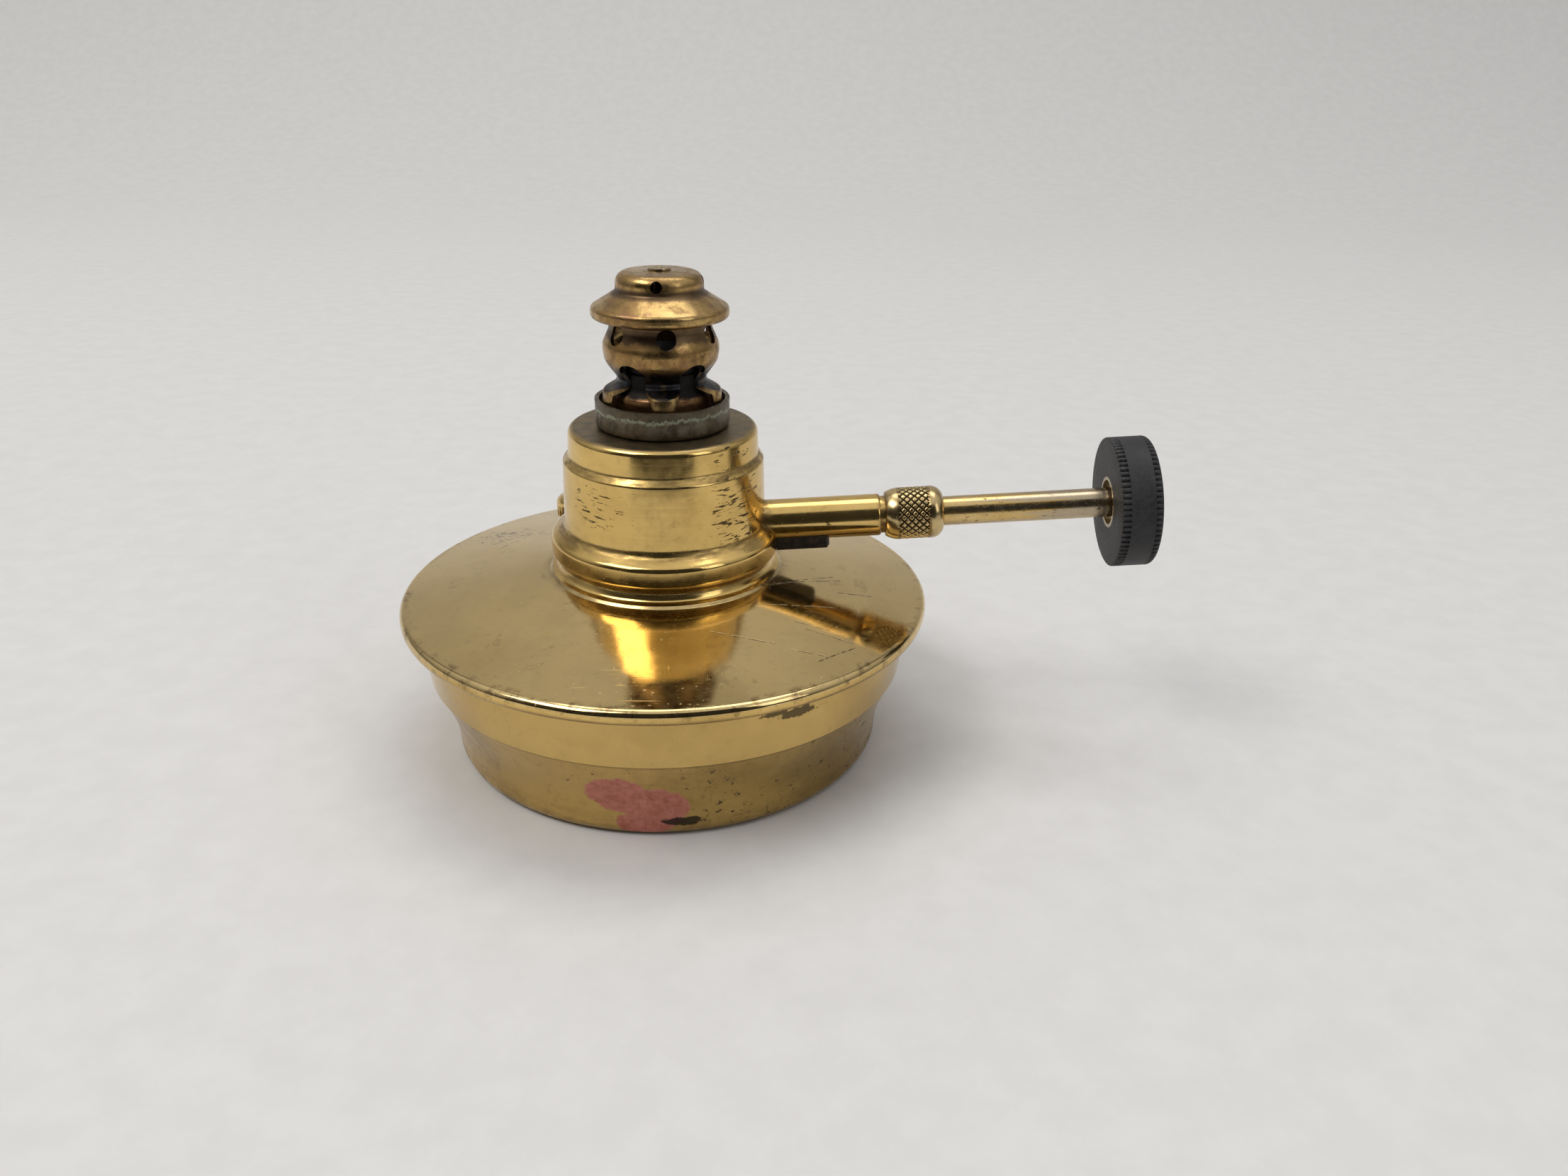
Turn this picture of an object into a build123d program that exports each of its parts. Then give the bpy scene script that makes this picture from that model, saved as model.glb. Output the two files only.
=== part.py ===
from build123d import *
import os
from math import cos, radians, sin, tan

# Wick-fed spirit burner: a spun brass tank, a column that holds the vapour valve,
# a priming cup with a push-on perforated head, and a long spindle with a black knob.
# Millimetres and degrees. Z is up, the burner stands on z = 0 about the Z axis,
# and the valve spindle runs out towards +X, rising a little.

# Clearances
running_fit = 0.05  # radial play of a shaft, thread or cap in its seat
seat_gap = 0.02  # face left between pieces that are soldered or clamped together
seam_gap = 0.2  # groove of the lapped seam round the tank

# Tank
sheet = 0.7  # wall of the tank and of the column cover
seam_radius = 46.4  # the pan, the skirt, the rim and the filler take their places from it
seam_height = 17.2
pan_foot_inset = 4.5
pan_foot_bend = 2.5
pan_waist_height = 8.0
pan_waist_lean = 0.4
pan_waist_bend = 25.0
pan_flare_inset = 0.4
lap_height = 4.0  # overlap of the pan inside the skirt
skirt_height = 27.2
skirt_flare = 0.9
skirt_swell = 0.12
skirt_bend = 30.0
rim_overhang = 3.5
rim_height = 30.2
rim_bead_height = 2.6
rim_top_bend = 1.35
rim_foot_bend = 1.15
rim_throat_bend = 0.8
seat_radius = 21.9  # flat on top of the tank that carries the column
seat_height = 35.5
seat_step = 0.5

pan_foot_radius = seam_radius - pan_foot_inset
pan_flare_radius = seam_radius - pan_flare_inset
skirt_radius = seam_radius + skirt_flare
rim_radius = skirt_radius + rim_overhang

# Column cover
foot_radius = 20.8
neck_radius = 20.2
collar_radius = 21.75
collar_bottom = 39.0
collar_top = 42.3
barrel_radius = 19.2
barrel_top_radius = 18.8
barrel_top = 56.6
cap_radius = 17.8
cap_top_radius = 17.6
column_top = 62.9
column_mouth_radius = 11.0

# Wick and valve
wick_tube_radius = 7.5
wick_tube_wall = 0.9
wick_tube_bottom = 6.0
wick_tube_depth = 2.0  # length of the tube inside the valve body
collar_flange_radius = 11.0
collar_flange_thickness = 1.2
wick_gap = 0.1
wick_bottom = 1.6
valve_body_radius = 9.2
vapour_bore_radius = 1.3
feed_bore_radius = 1.0
feed_bore_offset = 5.0
chamber_radius = 2.2
orifice_radius = 0.7
seat_offset = 2.6  # valve seat's distance from the column axis, along the spindle

# Jet
jet_shank_radius = 2.6
jet_shank_length = 5.0
jet_hex_across = 8.0
jet_hex_height = 2.4
jet_cone_height = 3.4
jet_tip_radius = 1.0
jet_bore_radius = 0.9
jet_orifice_radius = 0.3
washer_radius = 4.6
washer_thickness = 0.5

# Priming cup and the core that carries the head
cup_wall = 0.8
cup_radius = 12.4
cup_height = 5.2
core_wall = 0.6
core_band_radius = 8.8
core_band_top = 69.2
core_neck_radius = 7.55
core_neck_height = 70.6
core_top = 73.4

# Burner head
head_wall = 0.6
head_top = 91.0
crown_radius = 7.9
crown_fall = 0.3
crown_edge_radius = 2.0
crown_bottom = 87.5
brim_radius = 12.43
brim_top = 84.7
brim_bottom = 82.85
throat_radius = 9.3
throat_top = 82.4
throat_bottom = 80.9
bulb_radius = 10.65
bulb_height = 78.0
bulb_lower_radius = 10.35
bulb_lower_height = 75.3
waist_top = 72.3
waist_bottom = 71.4
petal_shoulder_radius = 10.95
petal_shoulder_height = 70.2
petal_tip_radius = 11.2
petal_tip_height = 68.15
leg_count = 5
leg_width = 6.1
leg_azimuth = 7.3  # every azimuth is measured from -Y towards +X
arch_spring_drop = 1.4  # from the lower bulb down to where the arches spring
arch_half_width = 2.6
arch_rise = 1.9
throat_hole_count = 6
throat_hole_radius = 1.75
throat_hole_height = 80.5
throat_hole_azimuth = 12.0
crown_hole_count = 4
crown_hole_radius = 1.05
crown_hole_height = 89.1
crown_hole_azimuth = 1.7
eyelet_radius = 2.1
eyelet_bore_radius = 0.6
eyelet_stem_radius = 1.2
eyelet_flange = 0.4
baffle_drop = 2.2  # from the inside of the crown down to the baffle disc
baffle_radius = 6.4
baffle_thickness = 0.5
crown_foot_bend = 0.8
brim_top_bend = 1.0
brim_foot_bend = 0.8
throat_top_bend = 0.7
throat_foot_bend = 1.8
bulb_bend = 3.0
waist_top_bend = 1.0
waist_foot_bend = 0.65
petal_bend = 1.2
arch_spring_height = bulb_lower_height - arch_spring_drop

# Sooty gauze cap that stands in the neck of the core
gauze_rise = 3.6
gauze_depth = 1.2  # length of the gauze inside the neck
gauze_thickness = 0.3
gauze_bend = 1.0

# Spindle line
spindle_height = 42.5
spindle_rise = 4.4  # degrees
side_tube_radius = 4.0
tube_socket = 6.6  # inner end of the side tube, from the column axis
tube_shoulder = 41.4
tube_nose_radius = 3.55
rod_radius = 2.8
rod_nose_radius = 1.9
rod_nose_start = 7.6
rod_nose_end = 12.4
needle_start = 1.2
needle_tip_radius = 0.12
needle_radius = 1.2
needle_cone_length = 2.8
needle_stem_radius = 0.9
needle_stem_length = 3.6
nut_start = 42.3
nut_length = 11.1
nut_end_radius = 4.15
nut_radius = 4.95
nut_grip_start = 2.5
nut_grip_end = 8.2
nut_nose_radius = 3.3
nut_floor = 2.2
gland_thickness = 0.5
packing_thickness = 1.6
saddle_outer = 31.4
saddle_width = 6.0
saddle_drop = 5.1  # from the spindle axis down to the underside of the block
saddle_corner = 0.5

# Knob
knob_start = 84.8
knob_thickness = 7.5
knob_radius = 12.3
knob_edge = 0.3
knob_outer_edge = 1.0
knob_dish_radius = 8.6
knob_dish_depth = 1.2
knob_notch_count = 72
knob_notch_length = 1.5
knob_notch_side = 0.55
bush_radius = 4.9
bush_recess_radius = 4.2
bush_recess_depth = 0.8
rod_tail_radius = 2.0
screw_head_radius = 3.4
screw_head_height = 1.1
screw_shank_radius = 1.0
screw_shank_length = 4.0
screw_slot_width = 0.8
screw_slot_depth = 0.6

# Filler
filler_inset = 11.35  # from the rim in to the filler
filler_angle = 120.5  # from +X towards +Y
filler_neck_radius = 6.2
filler_bore_radius = 4.6
filler_neck_height = 3.2
filler_flange_radius = 7.2
filler_flange_drop = 0.15  # the sheet curves down this much beside the neck
filler_flange_thickness = 0.8
cap_outer_radius = 7.5
cap_crown = 0.85
cap_edge_radius = 2.0
cap_lift = 0.35
filler_washer_thickness = 0.8
cap_grip_count = 36
cap_grip_side = 0.45
cap_grip_height = 2.3

os.makedirs("parts", exist_ok=True)


def compass(azimuth, height):
    """Plane whose normal looks out from the Z axis at an azimuth from -Y towards +X."""
    turn = radians(azimuth)
    return Plane(
        origin=(0, 0, height), x_dir=(cos(turn), sin(turn), 0), z_dir=(sin(turn), -cos(turn), 0)
    )


def spaced(count, first):
    """Azimuths of a number of equal spaces, the first one given."""
    return [first + index * 360 / count for index in range(count)]


# The spindle line, and a section plane whose local X is the distance along it
spindle_direction = Vector(cos(radians(spindle_rise)), 0, sin(radians(spindle_rise)))
spindle_foot = (0, 0, spindle_height)
spindle_axis = Axis(spindle_foot, spindle_direction)
spindle_plane = Plane(origin=spindle_foot, x_dir=(0, 1, 0), z_dir=spindle_direction)
spindle_section = Plane(origin=spindle_foot, x_dir=spindle_direction, z_dir=(0, -1, 0))

# The conical top of the tank, and the plane of the filler on it
cone_radius = seat_radius + seat_step
cone_height = seat_height - seat_step
cone_fall = (cone_height - rim_height) / (rim_radius - cone_radius)
filler_radius = rim_radius - filler_inset
filler_out = Vector(cos(radians(filler_angle)), sin(radians(filler_angle)), 0)
filler_foot = filler_out * filler_radius + Vector(
    0, 0, cone_height - cone_fall * (filler_radius - cone_radius)
)
filler_plane = Plane(
    origin=filler_foot,
    x_dir=(-filler_out.Y, filler_out.X, 0),
    z_dir=filler_out * cone_fall + Vector(0, 0, 1),
)

# Tank: the bottom pan, whose lap stands up inside the skirt
with BuildPart() as base_pan:
    with BuildSketch(Plane.XZ):
        with BuildLine():
            FilletPolyline(
                (0, 0),
                (pan_foot_radius, 0),
                (pan_foot_radius + pan_waist_lean, pan_waist_height),
                (pan_flare_radius, seam_height - seam_gap),
                radius=(pan_foot_bend, pan_waist_bend),
            )
            offset(amount=sheet, side=Side.LEFT)
        make_face()
    revolve(axis=Axis.Z)
    lap_radius = seam_radius - sheet - running_fit
    with BuildSketch(Plane.XY.offset(seam_height - seam_gap - sheet)):
        Circle(lap_radius)
        Circle(lap_radius - sheet, mode=Mode.SUBTRACT)
    extrude(amount=lap_height)
base_pan.part.label = "base_pan"
export_step(base_pan.part, "parts/base_pan.step")

# Tank: top, rolled rim and skirt, spun in one piece
skirt_middle = (skirt_radius + seam_radius) / 2
with BuildPart() as tank_shell:
    with BuildSketch(Plane.XZ):
        with BuildLine():
            FilletPolyline(
                (wick_tube_radius + running_fit, seat_height),
                (seat_radius, seat_height),
                (cone_radius, cone_height),
                (rim_radius, rim_height),
                (rim_radius, rim_height - rim_bead_height),
                (skirt_radius, skirt_height),
                (skirt_middle + skirt_swell, (skirt_height + seam_height) / 2),
                (seam_radius, seam_height),
                radius=(0, 0, rim_top_bend, rim_foot_bend, rim_throat_bend, skirt_bend),
            )
            offset(amount=sheet, side=Side.RIGHT)
        make_face()
    revolve(axis=Axis.Z)
    with BuildSketch(filler_plane.offset(-3 * sheet)):
        Circle(filler_neck_radius + running_fit)
    extrude(amount=6 * sheet, mode=Mode.SUBTRACT)
tank_shell.part.label = "tank_shell"
export_step(tank_shell.part, "parts/tank_shell.step")

# Column cover, with the hole that the side tube passes through
with BuildPart() as column_cover:
    with BuildSketch(Plane.XZ):
        with BuildLine():
            FilletPolyline(
                (foot_radius, seat_height + seat_gap),
                (foot_radius, seat_height + sheet),
                (neck_radius, collar_bottom - 1.5),
                (collar_radius, collar_bottom),
                (collar_radius, collar_top),
                (barrel_radius, collar_top + 1.7),
                (barrel_top_radius, barrel_top),
                (cap_radius, barrel_top + 1.3),
                (cap_top_radius, column_top),
                (column_mouth_radius, column_top),
                radius=(0.8, 0.9, 1.2, 1.4, 2.0, 0.75, 0.8, 1.3),
            )
            offset(amount=sheet, side=Side.LEFT)
        make_face()
    revolve(axis=Axis.Z)
    with BuildSketch(spindle_plane.offset(barrel_radius / 2)):
        Circle(side_tube_radius + running_fit)
    extrude(amount=barrel_radius, mode=Mode.SUBTRACT)
column_cover.part.label = "column_cover"
export_step(column_cover.part, "parts/column_cover.step")

# Wick tube with the flange that is soldered to the tank, and the wick in it
flange_bottom = seat_height + seat_gap
flange_top = flange_bottom + collar_flange_thickness
wick_tube_top = flange_top + wick_tube_depth
with BuildPart() as wick_tube:
    with BuildSketch(Plane.XY.offset(wick_tube_bottom)):
        Circle(wick_tube_radius)
    extrude(amount=wick_tube_top - wick_tube_bottom)
    with BuildSketch(Plane.XY.offset(flange_bottom)):
        Circle(collar_flange_radius)
    extrude(amount=collar_flange_thickness)
    Hole(wick_tube_radius - wick_tube_wall)
wick_tube.part.label = "wick_tube"
export_step(wick_tube.part, "parts/wick_tube.step")

with BuildPart() as wick:
    with BuildSketch(Plane.XY.offset(wick_bottom)):
        Circle(wick_tube_radius - wick_tube_wall - wick_gap)
    extrude(amount=wick_tube_top - wick_bottom - wick_gap)
    chamfer(wick.edges().sort_by(Axis.Z)[0], length=1.2)
wick.part.label = "wick"
export_step(wick.part, "parts/wick.step")

# Valve body: socket for the wick tube, feed bore, needle chamber, seat and vapour bore
with BuildPart() as valve_body:
    with BuildSketch(Plane.XY.offset(flange_top + seat_gap)):
        Circle(valve_body_radius)
    extrude(amount=column_top - flange_top - 2 * seat_gap)
    chamfer(valve_body.edges().filter_by(GeomType.CIRCLE), length=0.5)
    with BuildSketch(Plane.XY.offset(flange_top)):
        Circle(wick_tube_radius + running_fit)
    extrude(amount=wick_tube_depth + seat_gap, mode=Mode.SUBTRACT)
    with BuildSketch(Plane.XY.offset(flange_top)):
        with Locations((feed_bore_offset, 0)):
            Circle(feed_bore_radius)
    extrude(amount=spindle_height - flange_top, mode=Mode.SUBTRACT)
    with BuildSketch(Plane.XY.offset(spindle_height)):
        Circle(vapour_bore_radius)
    extrude(amount=column_top - spindle_height, mode=Mode.SUBTRACT)
    with BuildSketch(Plane.XY.offset(column_top - jet_shank_length)):
        Circle(jet_shank_radius + running_fit)
    extrude(amount=jet_shank_length, mode=Mode.SUBTRACT)
    with BuildSketch(spindle_plane):
        Circle(orifice_radius)
    extrude(amount=seat_offset, mode=Mode.SUBTRACT)
    with BuildSketch(spindle_plane.offset(seat_offset)):
        Circle(chamber_radius)
    extrude(amount=valve_body_radius, mode=Mode.SUBTRACT)
    with BuildSketch(spindle_plane.offset(tube_socket - seat_gap)):
        Circle(side_tube_radius + running_fit)
    extrude(amount=valve_body_radius, mode=Mode.SUBTRACT)
valve_body.part.label = "valve_body"
export_step(valve_body.part, "parts/valve_body.step")

# Priming cup, clamped on top of the column
with BuildPart() as priming_cup:
    with BuildSketch(Plane.XZ):
        with BuildLine():
            FilletPolyline(
                (jet_shank_radius + running_fit, column_top + seat_gap),
                (cup_radius, column_top + seat_gap),
                (cup_radius, column_top + cup_height),
                radius=(1.0,),
            )
            offset(amount=cup_wall, side=Side.LEFT)
        make_face()
    revolve(axis=Axis.Z)
priming_cup.part.label = "priming_cup"
export_step(priming_cup.part, "parts/priming_cup.step")

# Core: a flared cup whose neck carries the head
core_floor = column_top + cup_wall + 2 * seat_gap
with BuildPart() as burner_core:
    with BuildSketch(Plane.XZ):
        with BuildLine():
            FilletPolyline(
                (jet_shank_radius + running_fit, core_floor),
                (core_band_radius, core_floor),
                (core_band_radius, core_band_top),
                (core_neck_radius, core_neck_height),
                (core_neck_radius, core_top),
                radius=(0.9, 0.25, 1.6),
            )
            offset(amount=core_wall, side=Side.LEFT)
        make_face()
    revolve(axis=Axis.Z)
burner_core.part.label = "burner_core"
export_step(burner_core.part, "parts/burner_core.step")

# Flame gauze: a closed cap of fine gauze, drawn as one thin sheet
gauze_radius = core_neck_radius - core_wall - running_fit
with BuildPart() as flame_gauze:
    with BuildSketch(Plane.XZ):
        with BuildLine():
            FilletPolyline(
                (gauze_radius, core_top - gauze_depth),
                (gauze_radius, core_top + gauze_rise),
                (0, core_top + gauze_rise),
                radius=(gauze_bend,),
            )
            offset(amount=gauze_thickness, side=Side.LEFT)
        make_face()
    revolve(axis=Axis.Z)
flame_gauze.part.label = "flame_gauze"
export_step(flame_gauze.part, "parts/flame_gauze.step")

# Jet and its sealing washer
washer_bottom = core_floor + core_wall + seat_gap
with BuildPart() as jet_washer:
    with BuildSketch(Plane.XY.offset(washer_bottom)):
        Circle(washer_radius)
        Circle(jet_shank_radius + running_fit, mode=Mode.SUBTRACT)
    extrude(amount=washer_thickness)
jet_washer.part.label = "jet_washer"
export_step(jet_washer.part, "parts/jet_washer.step")

hex_bottom = washer_bottom + washer_thickness + seat_gap
hex_top = hex_bottom + jet_hex_height
jet_top = hex_top + jet_cone_height
shank_bottom = column_top - jet_shank_length + seat_gap
with BuildPart() as jet_nozzle:
    with BuildSketch(Plane.XY.offset(shank_bottom)):
        Circle(jet_shank_radius)
    extrude(amount=hex_bottom - shank_bottom)
    with BuildSketch(Plane.XY.offset(hex_bottom)):
        RegularPolygon(jet_hex_across / 2, 6, major_radius=False)
    extrude(amount=jet_hex_height)
    with BuildSketch(Plane.XZ):
        with BuildLine():
            Polyline(
                (0, hex_top),
                (jet_shank_radius, hex_top),
                (jet_tip_radius, jet_top),
                (0, jet_top),
                close=True,
            )
        make_face()
    revolve(axis=Axis.Z)
    with BuildSketch(Plane.XY.offset(shank_bottom)):
        Circle(jet_bore_radius)
    extrude(amount=jet_top - shank_bottom - jet_tip_radius, mode=Mode.SUBTRACT)
    Hole(jet_orifice_radius)
jet_nozzle.part.label = "jet_nozzle"
export_step(jet_nozzle.part, "parts/jet_nozzle.step")

# Burner head: one spun shell, its foot slit into spring legs that curl out as petals
waist_radius = core_neck_radius + running_fit + head_wall
leg_reach = petal_tip_radius - leg_width / 2
with BuildPart() as burner_head:
    with BuildSketch(Plane.XZ):
        with BuildLine():
            FilletPolyline(
                (eyelet_stem_radius + running_fit, head_top),
                (crown_radius, head_top - crown_fall),
                (crown_radius, crown_bottom),
                (brim_radius, brim_top),
                (brim_radius, brim_bottom),
                (throat_radius, throat_top),
                (throat_radius, throat_bottom),
                (bulb_radius, bulb_height),
                (bulb_lower_radius, bulb_lower_height),
                (waist_radius, waist_top),
                (waist_radius, waist_bottom),
                (petal_shoulder_radius, petal_shoulder_height),
                (petal_tip_radius, petal_tip_height),
                radius=(
                    crown_edge_radius,
                    crown_foot_bend,
                    brim_top_bend,
                    brim_foot_bend,
                    throat_top_bend,
                    throat_foot_bend,
                    bulb_bend,
                    bulb_bend,
                    waist_top_bend,
                    waist_foot_bend,
                    petal_bend,
                ),
            )
            offset(amount=head_wall, side=Side.RIGHT)
        make_face()
    revolve(axis=Axis.Z)
    with BuildSketch(Plane.XY.offset(petal_tip_height - head_wall)):
        Circle(brim_radius)
        for azimuth in spaced(leg_count, leg_azimuth):
            with Locations(Location((0, 0, 0), (0, 0, azimuth))):
                with Locations((0, -leg_reach / 2)):
                    SlotCenterToCenter(leg_reach, leg_width, 90, mode=Mode.SUBTRACT)
    extrude(amount=arch_spring_height - petal_tip_height + head_wall, mode=Mode.SUBTRACT)
    for azimuth in spaced(leg_count, leg_azimuth + 180 / leg_count):
        with BuildSketch(compass(azimuth, arch_spring_height)):
            Ellipse(arch_half_width, arch_rise)
            with Locations((0, -0.05)):
                Rectangle(leg_width, leg_width, align=(Align.CENTER, Align.MAX), mode=Mode.SUBTRACT)
        extrude(amount=brim_radius, mode=Mode.SUBTRACT)
    for azimuth in spaced(throat_hole_count, throat_hole_azimuth):
        with BuildSketch(compass(azimuth, throat_hole_height)):
            Circle(throat_hole_radius)
        extrude(amount=brim_radius, mode=Mode.SUBTRACT)
    for azimuth in spaced(crown_hole_count, crown_hole_azimuth):
        with BuildSketch(compass(azimuth, crown_hole_height)):
            Circle(crown_hole_radius)
        extrude(amount=brim_radius, mode=Mode.SUBTRACT)
burner_head.part.label = "burner_head"
export_step(burner_head.part, "parts/burner_head.step")

# Baffle disc under the crown, and the eyelet that holds it
baffle_top = head_top - head_wall - baffle_drop
with BuildPart() as baffle_disc:
    with BuildSketch(Plane.XY.offset(baffle_top - baffle_thickness)):
        Circle(baffle_radius)
        Circle(eyelet_stem_radius + seat_gap, mode=Mode.SUBTRACT)
    extrude(amount=baffle_thickness)
baffle_disc.part.label = "baffle_disc"
export_step(baffle_disc.part, "parts/baffle_disc.step")

eyelet_bottom = baffle_top - baffle_thickness - seat_gap - eyelet_flange
eyelet_top = head_top + seat_gap + eyelet_flange
with BuildPart() as crown_eyelet:
    with BuildSketch(Plane.XY.offset(eyelet_bottom)):
        Circle(eyelet_stem_radius)
    extrude(amount=eyelet_top - eyelet_bottom)
    with BuildSketch(Plane.XY.offset(eyelet_bottom)):
        Circle(eyelet_radius)
    extrude(amount=eyelet_flange)
    with BuildSketch(Plane.XY.offset(eyelet_top - eyelet_flange)):
        Circle(eyelet_radius)
    extrude(amount=eyelet_flange)
    fillet(crown_eyelet.edges().group_by(Axis.Z)[-1], radius=eyelet_flange / 2)
    Hole(eyelet_bore_radius)
crown_eyelet.part.label = "crown_eyelet"
export_step(crown_eyelet.part, "parts/crown_eyelet.step")

# Distances along the spindle: packing nut, gland washer, packing and the end of the tube
nut_end = nut_start + nut_length
gland_end = nut_end - nut_floor - seat_gap
gland_start = gland_end - gland_thickness
packing_end = gland_start - seat_gap
packing_start = packing_end - packing_thickness
tube_end = packing_start - seat_gap

# Side tube, with the turned-down nose that the packing nut screws on
with BuildPart() as side_tube:
    with BuildSketch(spindle_section):
        with BuildLine():
            Polyline(
                (tube_socket, rod_radius + running_fit),
                (tube_socket, side_tube_radius),
                (tube_shoulder - 0.3, side_tube_radius),
                (tube_shoulder, side_tube_radius - 0.3),
                (tube_shoulder, tube_nose_radius),
                (tube_end, tube_nose_radius),
                (tube_end, rod_radius + running_fit),
                close=True,
            )
        make_face()
    revolve(axis=spindle_axis)
side_tube.part.label = "side_tube"
export_step(side_tube.part, "parts/side_tube.step")

with BuildPart() as packing_ring:
    with BuildSketch(spindle_plane.offset(packing_start)):
        Circle(tube_nose_radius - running_fit)
        Circle(rod_radius + running_fit, mode=Mode.SUBTRACT)
    extrude(amount=packing_thickness)
packing_ring.part.label = "packing_ring"
export_step(packing_ring.part, "parts/packing_ring.step")

with BuildPart() as packing_washer:
    with BuildSketch(spindle_plane.offset(gland_start)):
        Circle(tube_nose_radius - running_fit)
        Circle(rod_radius + running_fit, mode=Mode.SUBTRACT)
    extrude(amount=gland_thickness)
packing_washer.part.label = "packing_washer"
export_step(packing_washer.part, "parts/packing_washer.step")

with BuildPart() as packing_nut:
    grip_start = nut_start + nut_grip_start
    grip_end = nut_start + nut_grip_end
    with BuildSketch(spindle_section):
        with BuildLine():
            ThreePointArc(
                (nut_start, nut_end_radius),
                (nut_start + 1.1, (nut_end_radius + nut_radius) / 2 + 0.15),
                (grip_start, nut_radius),
            )
            Line((grip_start, nut_radius), (grip_end, nut_radius))
            ThreePointArc(
                (grip_end, nut_radius),
                (nut_end - 0.8, (nut_radius + nut_nose_radius) / 2 + 0.35),
                (nut_end, nut_nose_radius),
            )
            Polyline(
                (nut_end, nut_nose_radius),
                (nut_end, rod_radius + running_fit),
                (nut_end - nut_floor, rod_radius + running_fit),
                (nut_end - nut_floor, tube_nose_radius + running_fit),
                (nut_start, tube_nose_radius + running_fit),
                (nut_start, nut_end_radius),
            )
        make_face()
    revolve(axis=spindle_axis)
packing_nut.part.label = "packing_nut"
export_step(packing_nut.part, "parts/packing_nut.step")

# Saddle: a block soldered under the side tube, hollowed to it and to the collar
with BuildPart() as tube_saddle:
    with BuildSketch(spindle_section):
        Rectangle(saddle_outer, saddle_drop, align=(Align.MIN, Align.MAX))
    extrude(amount=saddle_width / 2, both=True)
    chamfer(tube_saddle.edges().group_by(spindle_axis)[-1], length=saddle_corner)
    with BuildSketch(spindle_plane):
        Circle(side_tube_radius + seat_gap)
    extrude(amount=2 * saddle_outer, mode=Mode.SUBTRACT)
    with BuildSketch(Plane.XY.offset(seat_height)):
        Circle(collar_radius + seat_gap)
    extrude(amount=column_top - seat_height, mode=Mode.SUBTRACT)
tube_saddle.part.label = "tube_saddle"
export_step(tube_saddle.part, "parts/tube_saddle.step")

# Spindle: needle, rod, bush, knob and screw
needle_shoulder = rod_nose_start - seat_gap
needle_end = needle_shoulder + needle_stem_length
with BuildPart() as valve_needle:
    with BuildSketch(spindle_section):
        with BuildLine():
            Polyline(
                (needle_start, 0),
                (needle_start, needle_tip_radius),
                (needle_start + needle_cone_length, needle_radius),
                (needle_shoulder, needle_radius),
                (needle_shoulder, needle_stem_radius),
                (needle_end, needle_stem_radius),
                (needle_end, 0),
                close=True,
            )
        make_face()
    revolve(axis=spindle_axis)
valve_needle.part.label = "valve_needle"
export_step(valve_needle.part, "parts/valve_needle.step")

bush_floor = knob_start + bush_recess_depth
bush_end = knob_start + knob_thickness - knob_dish_depth
tail_end = bush_end - seat_gap
head_start = bush_end + seat_gap
screw_reach = head_start - screw_shank_length
with BuildPart() as spindle_rod:
    with BuildSketch(spindle_section):
        with BuildLine():
            Polyline(
                (rod_nose_start, needle_stem_radius + running_fit),
                (rod_nose_start, rod_nose_radius),
                (rod_nose_end, rod_nose_radius),
                (rod_nose_end, rod_radius),
                (bush_floor - seat_gap, rod_radius),
                (bush_floor - seat_gap, rod_tail_radius),
                (tail_end, rod_tail_radius),
                (tail_end, screw_shank_radius + running_fit),
                (screw_reach - 0.5, screw_shank_radius + running_fit),
                (screw_reach - 0.5, 0),
                (needle_end + 0.3, 0),
                (needle_end + 0.3, needle_stem_radius + running_fit),
                close=True,
            )
        make_face()
    revolve(axis=spindle_axis)
spindle_rod.part.label = "spindle_rod"
export_step(spindle_rod.part, "parts/spindle_rod.step")

with BuildPart() as knob_bush:
    with BuildSketch(spindle_plane.offset(knob_start)):
        Circle(bush_radius)
        Circle(rod_tail_radius + running_fit, mode=Mode.SUBTRACT)
    extrude(amount=bush_end - knob_start)
    with BuildSketch(spindle_plane.offset(knob_start)):
        Circle(bush_recess_radius)
    extrude(amount=bush_recess_depth, mode=Mode.SUBTRACT)
knob_bush.part.label = "knob_bush"
export_step(knob_bush.part, "parts/knob_bush.step")

with BuildPart() as control_knob:
    with BuildSketch(spindle_plane.offset(knob_start)):
        Circle(knob_radius)
    extrude(amount=knob_thickness)
    fillet(control_knob.edges().sort_by(spindle_axis)[-1], radius=knob_outer_edge)
    fillet(control_knob.edges().sort_by(spindle_axis)[0], radius=knob_edge)
    with BuildSketch(spindle_plane.offset(bush_end)):
        Circle(knob_dish_radius)
    extrude(amount=knob_dish_depth, taper=-20, mode=Mode.SUBTRACT)
    with BuildSketch(spindle_plane.offset(knob_start)):
        Circle(bush_radius + seat_gap)
    extrude(amount=knob_thickness, mode=Mode.SUBTRACT)
    for start in (knob_start, knob_start + knob_thickness - knob_notch_length):
        with BuildSketch(spindle_plane.offset(start)):
            with PolarLocations(knob_radius, knob_notch_count):
                Rectangle(knob_notch_side, knob_notch_side, rotation=45)
        extrude(amount=knob_notch_length, mode=Mode.SUBTRACT)
control_knob.part.label = "control_knob"
export_step(control_knob.part, "parts/control_knob.step")

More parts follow.
